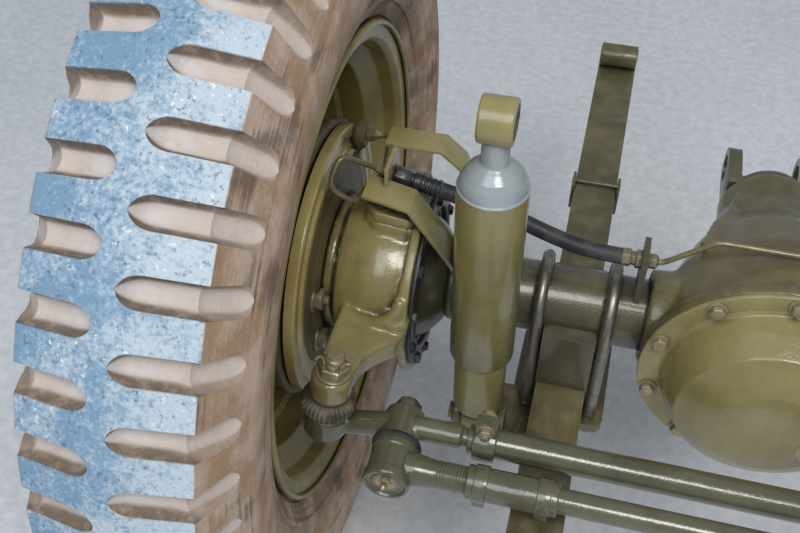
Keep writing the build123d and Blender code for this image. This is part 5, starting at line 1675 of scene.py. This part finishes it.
@dataclass
class Linkage(Assembly):
    """Pieces of the linkage that stand once: tube, boots and drag link."""

    link_x: float = -464.0
    link_far: float = 225.0
    link_y: float = -186.0
    link_z: float = -28.0
    pleats: int = 34
    fold: float = 1.5
    fold_from: float = 15.0
    fold_run: float = 8.6
    fold_sharpness: float = 1.4

    def boots(self) -> Solid:
        """Boots under both arm eyes, gathered towards their lower ends.

        Returns:
            The solid.
        """
        outline = [(11.2, -6.9), (14.0, -6.8), (17.0, -7.6), (20.4, -9.6), (22.6, -12.6),
                   (23.6, -16.0), (23.2, -19.4), (21.4, -22.6), (18.8, -25.0), (17.4, -26.4),
                   (11.2, -26.5)]
        pleat, columns = 2 * pi / self.pleats, 4
        points, faces = [], []
        for step in range(columns + 1):
            angle = pleat * (step / columns - 0.5)
            wave = abs(2 * step / columns - 1) ** self.fold_sharpness
            for radius, height in outline:
                share = max(0.0, radius - self.fold_from) / self.fold_run
                near = radius - self.fold * share * wave
                points.append(Vector((near * cos(angle), near * sin(angle), height)))
        count = len(outline)
        for step in range(columns):
            for index in range(count):
                after = (index + 1) % count
                low, high = step * count, (step + 1) * count
                faces.append((low + index, high + index, high + after, low + after))
        left = ring(Solid(points, faces), self.pleats, BOOT, joined=SEAM).placed(at_eye())
        return left + left.mirrored()

    def socket(self, x: float) -> Solid:
        """Drag link socket across the link, with a stepped cap and a rear collar.

        Args:
            x: Its place along the link.

        Returns:
            The solid.
        """
        outline = [(0, 16.4), (8.5, 16.4), (8.5, 18.2), (11.5, 18.2), (12.8, 17.4), (15.2, 17.4),
                   (16.4, 20), (18, 20), (19.3, 18.3), (19.3, 11.5), (18.3, 10.5), (18.3, -9),
                   (19.3, -10), (19.3, -16.5), (18, -17.8), (8.2, -17.8), (8.2, -6), (0, -6)]
        return Solid.lathe(rounded(outline, 0.7, 2), 56,
                           facing(x, self.link_y, self.link_z, (0, -1, 0)))

    def link(self) -> Solid:
        """Drag link with a forged neck at each socket and the threaded adjuster near the first.

        Returns:
            The solid.
        """
        y, z = self.link_y, self.link_z
        near, far = self.link_x + 12, self.link_far - 12
        stations = [(near, 15), (near + 10, 13.4), (near + 22, 11.6), (near + 30, 10.4),
                    (far - 30, 10.4), (far - 20, 11.8), (far - 8, 13.6), (far, 15)]
        rod = Solid.tube([(x, y, z) for x, _ in stations], [radius for _, radius in stations], 32)
        rod += thread(12.0, 0, 26, 2.6, 1.0, 1.0, 28).placed(facing(near + 26, y, z, (1, 0, 0)))
        sleeve = [(0, 50), (13.2, 50), (13.9, 51), (13.9, 122), (13.2, 123), (0, 123)]
        rod += Solid.lathe(sleeve, 36, facing(near, y, z, (1, 0, 0)))
        for start in (56, 106):
            band = rounded(section(13, 15.4, start, start + 11), 0.8, 2)
            rod += Solid.lathe(band, 36, facing(near, y, z, (1, 0, 0)))
            rod += Solid.block((near + start + 5.5, y - 2, z - 17), (10, 13, 9))
        return rod

    def far_eye(self) -> Solid:
        """Bored far eye of the drag link.

        Returns:
            The solid.
        """
        outline = [(7.5, -17.8), (17, -17.8), (19.3, -15.5), (19.3, 15.5), (17, 17.8), (7.5, 17.8)]
        return Solid.lathe(rounded(outline, 0.8, 2), 56,
                           facing(self.link_far, self.link_y, self.link_z, (0, -1, 0)))

    def stud(self) -> Solid:
        """Stud of the near joint with its nut and split pin behind the eye.

        Returns:
            The solid.
        """
        place = facing(self.link_x, -150, self.link_z, (0, 1, 0))
        nut = Solid.lathe([(0, 15), (11, 15), (11.5, 15.8), (11.5, 25.2), (10.6, 26), (0, 26)], 6)
        washer = Solid.lathe(section(0, 13.5, 13.5, 15.2), 32)
        pin = Solid.lathe(section(0, 7.3, -34, 12), 24)
        return (nut + washer + thread(7.4, 10, 29) + pin).placed(place)

    def dress(self) -> None:
        """Make the linkage."""
        self.add("boots", self.boots(), BOOT, "tie_rod", ("tie_rod_boots",))
        self.copy("tie_rod_tube_dressed", "tie_rod_tube", LINKAGE, "tie_rod", bevel=0.8)
        whole = self.link() + self.socket(self.link_x) + self.far_eye()
        self.add("drag_link_dressed", whole, LINKAGE, "drag_link", ("drag_link_rod",), bevel=0.5)
        plug = Solid.lathe(rounded([(0, 15), (11.6, 15), (11.6, 17.3), (10.4, 17.9), (0, 17.9)],
                                   0.6, 2), 36)
        slot = Solid.block((0, 0, 18.2), (15, 2.6, 0.8)) + nipple(0.9).moved(0, 6, 17.4)
        place = facing(self.link_x, self.link_y, self.link_z, (0, -1, 0))
        self.add("drag_link_plug", (plug + slot).placed(place), WORN_BRASS, "drag_link")
        seal = [(8.4, -15), (19.2, -15), (20.6, -16.2), (20.9, -18.4), (20.2, -20.4), (18.6, -21),
                (8.4, -21)]
        self.add("drag_link_seal", Solid.lathe(rounded(seal, 0.8, 3), 48, place), HOSE, "drag_link")
        self.add("drag_link_stud_dressed", self.stud(), STEEL, "tie_rod", ("drag_link_stud",),
                 bevel=0.3)


# Suspension and axle


@dataclass
class Spring(Assembly):
    """Leaf pack with separate leaves, clips, U-bolts and plate."""

    x: float = 342.5
    width: float = 44.5
    sheet: float = 5.0
    seat_z: float = -64.0
    half_span: float = 460.0
    rise: float = 12.0
    shares: tuple = (1.0, 0.935, 0.804, 0.678, 0.557, 0.435, 0.317, 0.2)
    clip_y: float = 235.0
    clip_sheet: float = 3.6
    leg_y: float = 37.55
    bolt_offset: float = 30.0
    steps: int = 28
    taper: float = 11.0

    def circle(self) -> tuple[float, float]:
        """Height of the arcs' centre and radius of the main leaf's top."""
        radius = (self.half_span ** 2 + self.rise ** 2) / (2 * self.rise)
        return self.seat_z + radius, radius

    def on_arc(self, y: float, depth: float) -> tuple[float, float]:
        """Point of the pack.

        Args:
            y: Length along the main leaf from the middle.
            depth: Below the main leaf's top.

        Returns:
            Its y and z.
        """
        centre, radius = self.circle()
        angle = y / radius
        return (radius + depth) * sin(angle), centre - (radius + depth) * cos(angle)

    def leaf(self, index: int) -> Solid:
        """One leaf, with bevelled ends.

        Args:
            index: Its place in the pack from the top.

        Returns:
            The solid.
        """
        half = self.shares[index] * self.half_span
        upper, lower = index * self.sheet + 0.15, (index + 1) * self.sheet - 0.25
        count = self.steps
        spans = [half * (2 * step / count - 1) for step in range(count + 1)]
        taper = self.taper if index else 0.0
        top = [self.on_arc(y, upper) for y in spans]
        bottom = [self.on_arc(y, lower) for y in spans]
        points, faces = [], []
        for step in range(count + 1):
            half_width = self.width / 2 - (taper if step in (0, count) else 0)
            for y, z in (top[step], bottom[step]):
                points += [Vector((self.x - half_width, y, z)), Vector((self.x + half_width, y, z))]
        for step in range(count):
            a, b = 4 * step, 4 * step + 4
            faces += [(a, a + 1, b + 1, b), (a + 2, b + 2, b + 3, a + 3), (a, b, b + 2, a + 2),
                      (a + 1, a + 3, b + 3, b + 1)]
        end = 4 * count
        faces += [(0, 2, 3, 1), (end, end + 1, end + 3, end + 2)]
        return Solid(points, faces)

    def eyes(self) -> tuple[Solid, Solid]:
        """Rolled eyes and their bushes.

        Returns:
            Both solids.
        """
        rolls, bushes = Solid(), Solid()
        half = self.width / 2
        for side in (-1, 1):
            y, z = self.on_arc(side * self.half_span, -9.5)
            place = facing(self.x, y, z, (1, 0, 0))
            roll = section(11.2, 14.4, -half + 0.6, half - 0.6)
            bush = [(7.3, -half), (10.9, -half), (12.6, -half + 0.8), (11.2, -half + 1.2),
                    (11.2, half - 1.2), (12.6, half - 0.8), (10.9, half), (7.3, half)]
            rolls += Solid.lathe(roll, 40, place)
            bushes += Solid.lathe(bush, 40, place)
        return rolls, bushes

    def clips(self) -> Solid:
        """Two clips bent round the leaves, each with its bolt.

        Returns:
            The solid.
        """
        solid = Solid()
        count = sum(1 for share in self.shares if share * self.half_span > self.clip_y)
        height = count * self.sheet
        half = self.width / 2
        for side in (-1, 1):
            y, z = self.on_arc(side * self.clip_y, height / 2)
            out, reach, foot = half + self.clip_sheet, height / 2 + 4, height / 2 + self.clip_sheet
            near, inside = half + 0.4, height / 2 + 0.4
            outline = [(-out, -reach), (-out, foot), (out, foot), (out, -reach), (near, -reach),
                       (near, inside), (-near, inside), (-near, -reach)]
            solid += Solid.prism(outline, -12, 12, frame_at((self.x, y, z), (0, 1, 0), (1, 0, 0)))
            bar = Solid.lathe(section(0, 3.2, -half - 3.9, half + 3.9), 16)
            solid += bar.placed(facing(self.x, y, z + height / 2 + 1.2, (1, 0, 0)))
        return solid

    def clamps(self) -> tuple[Solid, Solid]:
        """U-bolts and their nuts.

        Returns:
            Both solids.
        """
        reach, bottom = self.leg_y, self.seat_z - len(self.shares) * self.sheet - 10
        bows, nuts = Solid(), Solid()
        bow = arc((0, 0), (-reach, reach), 0, pi, 20)
        for side in (-1, 1):
            x = self.x + side * self.bolt_offset
            route = [(x, -reach, bottom + 12), *((x, y, z) for y, z in bow),
                     (x, reach, bottom + 12)]
            bows += Solid.tube(route, 5.5, 20)
            for y in (-reach, reach):
                bows += thread(5.4, bottom - 16, bottom + 14, 1.8).moved(x, y, 0)
                head = Solid.lathe([(0, -9), (9, -9), (10, -8), (10, -1.6), (0, -1.6)], 6)
                washer = Solid.lathe(section(0, 11.5, -1.7, 0), 28)
                nuts += (head + washer).moved(x, y, bottom)
        return bows, nuts

    def dress(self) -> None:
        """Make the spring's pieces."""
        leaves = Solid()
        for index in range(len(self.shares)):
            leaves += self.leaf(index)
        rolls, bushes = self.eyes()
        self.add("leaves", leaves + rolls + self.clips(), OILY, "axle", ("leaf_spring_",),
                 bevel=0.7)
        self.add("eye_bushes", bushes, BOOT, "axle", ("leaf_spring_",))
        bows, nuts = self.clamps()
        self.add("u_bolts_dressed", bows, STEEL, "axle", ("u_bolts_",))
        self.add("u_bolt_nuts", nuts, WORN_BRASS, "axle", ("u_bolts_",), bevel=0.4)
        self.copy("spring_plate_dressed", "spring_plate_", OILY, "axle", bevel=1.4)


@dataclass
class Damper(Assembly):
    """Telescopic damper with its dust cover and bushed eyes."""

    foot: tuple = (411.0, -85.0, -77.0)
    head: tuple = (415.0, -85.0, 252.0)

    def place(self) -> Matrix:
        """Frame at the foot with Z along the damper."""
        return frame_at(self.foot, Vector(self.head) - Vector(self.foot), (0, 1, 0))

    def eye(self, centre: Point) -> tuple[Solid, Solid]:
        """Eye ring and its rubber bush.

        Args:
            centre: Middle of the eye.

        Returns:
            Both solids.
        """
        ring_outline = [(12, -12.6), (16, -12.6), (17, -11), (17, 11), (16, 12.6), (12, 12.6)]
        bush = [(8.1, -13), (11.6, -13), (13.4, -12.4), (12.1, -11), (12.1, 11), (13.4, 12.4),
                (11.6, 13), (8.1, 13)]
        place = facing(*centre, (1, 0, 0))
        return Solid.lathe(rounded(ring_outline, 1, 2), 44, place), Solid.lathe(bush, 40, place)

    def dress(self) -> None:
        """Make the damper's pieces."""
        length = (Vector(self.head) - Vector(self.foot)).length
        place = self.place()
        tube = [(0, 14), (12, 14), (13, 17), (17, 18.5), (21, 22), (22, 26), (22, 199), (20, 200),
                (0, 200)]
        low_eye, low_bush = self.eye(self.foot)
        self.add("damper_tube_dressed", Solid.lathe(rounded(tube, 2, 3), 72, place) + low_eye,
                 DAMPER_OLIVE, "axle", ("damper_tube_",))
        cover = [(24.6, 92), (25.6, 92), (26.5, 93.2), (26.5, 267), (26.1, 268.6), (25.9, 270),
                 (24.4, 270), (24.4, 262), (24.4, 94)]
        self.add("damper_cover_dressed", Solid.lathe(cover, 80, place), DAMPER_OLIVE, "axle",
                 ("damper_cover_",))
        bead = arc((24.9, 271.3), (1.7, 1.6), -pi / 2, pi / 2, 12)
        dome = [(0, 268), (24.6, 268), (25.6, 272.6), (25.0, 276.5), (23.2, 281), (19.5, 286.5),
                (14, 291.5), (10.2, 294), (10.2, length - 13), (0, length - 13)]
        cap = Solid.lathe(rounded(dome, 3, 3), 80) + Solid.lathe([(20, 270), *bead, (20, 273)], 80)
        self.add("damper_cap", cap.placed(place), DAMPER_CAP, "axle", ("damper_cover_",))
        high_eye, high_bush = self.eye(self.head)
        self.add("damper_head_eye", high_eye, OLIVE, "axle", ("damper_cover_",))
        self.add("damper_bushes", low_bush + high_bush, BOOT, "axle", ("damper_cover_",))
        nut = (Solid.lathe([(0, 0), (12, 0), (12.5, 1), (12.5, 7), (11.5, 8), (0, 8)], 6)
               + thread(7.6, 7, 11.5)).placed(facing(424.4, *self.foot[1:], (1, 0, 0)))
        self.add("damper_nut", nut, STEEL, "axle", bevel=0.3)


@dataclass
class Beam(Assembly):
    """Axle tube with its hollow ball, and welds."""

    def dress(self) -> None:
        """Make the tube's pieces."""
        self.copy("axle_tube_dressed", "axle_tube_", BEAM, "axle", bevel=0.8)
        weld = arc((31.2, 451), (4.2, 4.5), pi / 2, -pi / 2, 8)
        self.add("ball_weld", Solid.lathe([(30, 455.5), *weld, (30, 446.5)], 72, OUTWARD), BEAM,
                 "axle")


@dataclass
class Centre(Assembly):
    """Pieces that stand once; nothing of them is mirrored."""

    def add(self, name: str, *rest: Any, **options: Any) -> bpy.types.Object:
        """Make a piece with a name of its own.

        Args:
            name: Its name.
            rest: As for any sub-assembly.
            options: As for any sub-assembly.

        Returns:
            The object.
        """
        thing = super().add(name, *rest, **options)
        thing.name = name
        return thing


@dataclass
class Differential(Centre):
    """Differential housing, its cover, pinion yoke and the steel brake pipes on the axle."""

    x: float = -178.0
    face_y: float = -50.0
    cover_radius: float = 105.0
    cover_depth: float = 50.0
    cover_bolts: int = 10
    tee_x: float = -30.0

    def place(self) -> Matrix:
        """Frame on the differential's axis, Z to the rear."""
        return frame_at((self.x, 0, 0), (0, 1, 0), (1, 0, 0))

    def housing(self) -> Solid:
        """CAD shape with ribs along the nose, to be recast.

        Returns:
            The solid.
        """
        body = Solid.from_node("differential_housing")
        rib = [(92, 30), (70, 78), (57, 112), (50, 140), (40, 140), (40, 30)]
        flat = Solid.prism(rib, -3.5, 3.5, Matrix.Rotation(pi / 2, 4, "X"))
        for turn in (45, 135, 225, 315):
            body += flat.placed(self.place() @ Matrix.Rotation(radians(turn), 4, "Z"))
        return body

    def cover(self) -> Solid:
        """Domed cover with its flange.

        Returns:
            The solid.
        """
        face, r = self.face_y, self.cover_radius
        front = face - self.cover_depth
        outline = [(0, front), (40, front), (56, front + 2.5), (73, front + 11), (82, front + 30),
                   (86, face - 5), (90, face - 4), (r - 0.6, face - 4), (r, face - 3), (r, face),
                   (84, face), (80, face - 6), (70, front + 15), (52, front + 6), (0, front + 4)]
        return Solid.lathe(rounded(outline, 4, 3), 120)

    def pipes(self) -> Solid:
        """Pipe lines with their flare nuts and tee.

        Returns:
            The solid.
        """
        rest, top, back = 34.45, 99.0, 279.0
        left = [(self.tee_x + 8, 0, rest), (back - 34, 0, rest), (back, 0, 66), (290, 0, 66)]
        right = [(self.tee_x - 8, 0, rest), (self.tee_x - 22, 0, rest), (self.x + 62, 0, top),
                 (self.x - 62, 0, top), (-back, 0, 66), (-290, 0, 66)]
        solid = Solid()
        for route in (left, right):
            solid += Solid.tube(rounded(route, 14, 5, closed=False), Brake.pipe_radius, 14)
        nut = Solid.lathe([(0, -9), (3, -9), (6.6, -6.5), (6.6, 0), (0, 0)], 6)
        joint = Solid.lathe([(0, 0), (8.3, 0), (8.3, 4.5), (6.2, 5.5), (6.2, 9), (7.9, 9.6),
                             (7.9, 16.4), (0, 16.4)], 6)
        for side in (-1, 1):
            solid += (nut.moved(0, 0, -2.6) + joint.moved(0, 0, 2.6)).placed(
                facing(side * 293, 0, 66, (side, 0, 0)))
            solid += nut.placed(facing(self.tee_x + side * 12, 0, rest, (-side, 0, 0)))
        solid += Solid.block((self.tee_x, 0, rest + 6), (23.6, 13.6, 15.6))
        bush = [(4.1, 12), (7.2, 12), (7.2, 23), (6.4, 24), (4.1, 24)]
        return solid + Solid.lathe(bush, 24).moved(self.tee_x, 0, rest)

    def dress(self) -> None:
        """Make the middle of the axle."""
        self.add("housing_dressed", self.housing(), OILY, "axle", ("differential_housing",),
                 recast=2.9, turn_out=False)
        self.add("cover_dressed", self.cover().placed(self.place()), OLIVE, "axle",
                 ("differential_cover",))
        head = bolt(6.6, 5.2, 1.5).placed(DOWN).moved(97, 0, self.face_y - 4)
        plug = Solid.lathe([(0, -1), (15, -1), (15, 1.5), (9.5, 2), (9.5, 9), (8.8, 10), (0, 10)],
                           24)
        bolts = ring(head, self.cover_bolts, STEEL, self.place(), 18)
        bolts += plug.placed(facing(self.x + 42, self.face_y - 49, -18, (0, -1, 0)))
        self.add("cover_bolts", bolts, WORN_BRASS, "axle", bevel=0.3)
        self.add("axle_pipes_dressed", self.pipes(), PIPE_STEEL, "axle", ("brake_pipe_axle",),
                 bevel=0.3)
        self.copy("yoke_dressed", "pinion_yoke", BEAM, "pinion", bevel=1.2)


@dataclass
class Studio:
    """Camera, lights and ground."""

    position: tuple = (-0.3472, -0.6185, 0.6633)
    pitch: float = 45.9
    heading: float = 14.2
    lens: float = 45.17
    sensor: float = 36.0
    sky: Colour = (0.86, 0.93, 1.0)
    sky_strength: float = 0.38
    aim: tuple = (-0.45, -0.05, 0)
    half_ground: float = 14.0
    lamps: tuple = (("sun_patch", (0.5, -1.5, 2.6), 1.0, 40, (1.0, 0.97, 0.92)),
                    ("sky_patch", (-0.95, -1.8, 2.4), 1.7, 32, (0.85, 0.93, 1.0)))

    def camera(self) -> None:
        """The photograph's camera."""
        camera = linked("camera", bpy.data.cameras.new("camera"))
        camera.location = self.position
        camera.rotation_euler = (radians(90 - self.pitch), 0, radians(self.heading))
        camera.data.lens = self.lens
        camera.data.sensor_width = self.sensor
        camera.data.clip_start = 0.01
        bpy.context.scene.camera = camera

    def lights(self) -> None:
        """Bright hazy sky and a soft sun from the front left."""
        world = bpy.data.worlds.new("sky")
        bpy.context.scene.world = world
        world.use_nodes = True
        background = world.node_tree.nodes["Background"]
        background.inputs["Color"].default_value = (*self.sky, 1)
        background.inputs["Strength"].default_value = self.sky_strength
        for name, place, size, power, colour in self.lamps:
            lamp = bpy.data.lights.new(name, "AREA")
            lamp.energy, lamp.size, lamp.color = power, size, colour
            thing = linked(name, lamp)
            thing.location = place
            thing.rotation_euler = (
                Vector(self.aim) - Vector(place)).to_track_quat("-Z", "Y").to_euler()

    def ground(self) -> None:
        """Pale ground under the tyres."""
        low = CAD_BOX[0][2]
        mesh = bpy.data.meshes.new("ground")
        size = self.half_ground
        corners = [(-size, -size, low), (size, -size, low), (size, size, low), (-size, size, low)]
        mesh.from_pydata(corners, [], [(0, 1, 2, 3)])
        shader = Shader("pale ground")
        grain = shader.noise(70, 4, roughness=0.7)
        patch = shader.noise(2.6, 3)
        colour = shader.mix((grain * 0.8 + patch * 0.3).step(0.3, 0.8), (0.60, 0.62, 0.65),
                            (0.80, 0.81, 0.84))
        mesh.materials.append(shader.surface({"Base Color": colour, "Roughness": 0.9}))
        linked("ground", mesh)

    def dress(self) -> None:
        """Make all three."""
        self.camera()
        self.lights()
        self.ground()


def main() -> None:
    """Build every piece."""
    logging.basicConfig(level=logging.INFO, format="%(name)s: %(message)s")
    bpy.context.scene.view_settings.view_transform = "Standard"
    Studio().dress()
    for side in Side:
        for kind in (Hose, Tyre, Wheel, Brake, Knuckle, ArmStud, TieRod, Spring, Damper, Beam):
            kind(side).dress()
    Linkage(Side.LEFT).dress()
    Differential(Side.LEFT).dress()
    for side in Side:
        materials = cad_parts["spindle_" + side.word].data.materials
        materials.clear()
        materials.append(STEEL.material())


if __name__ == "__main__":
    main()
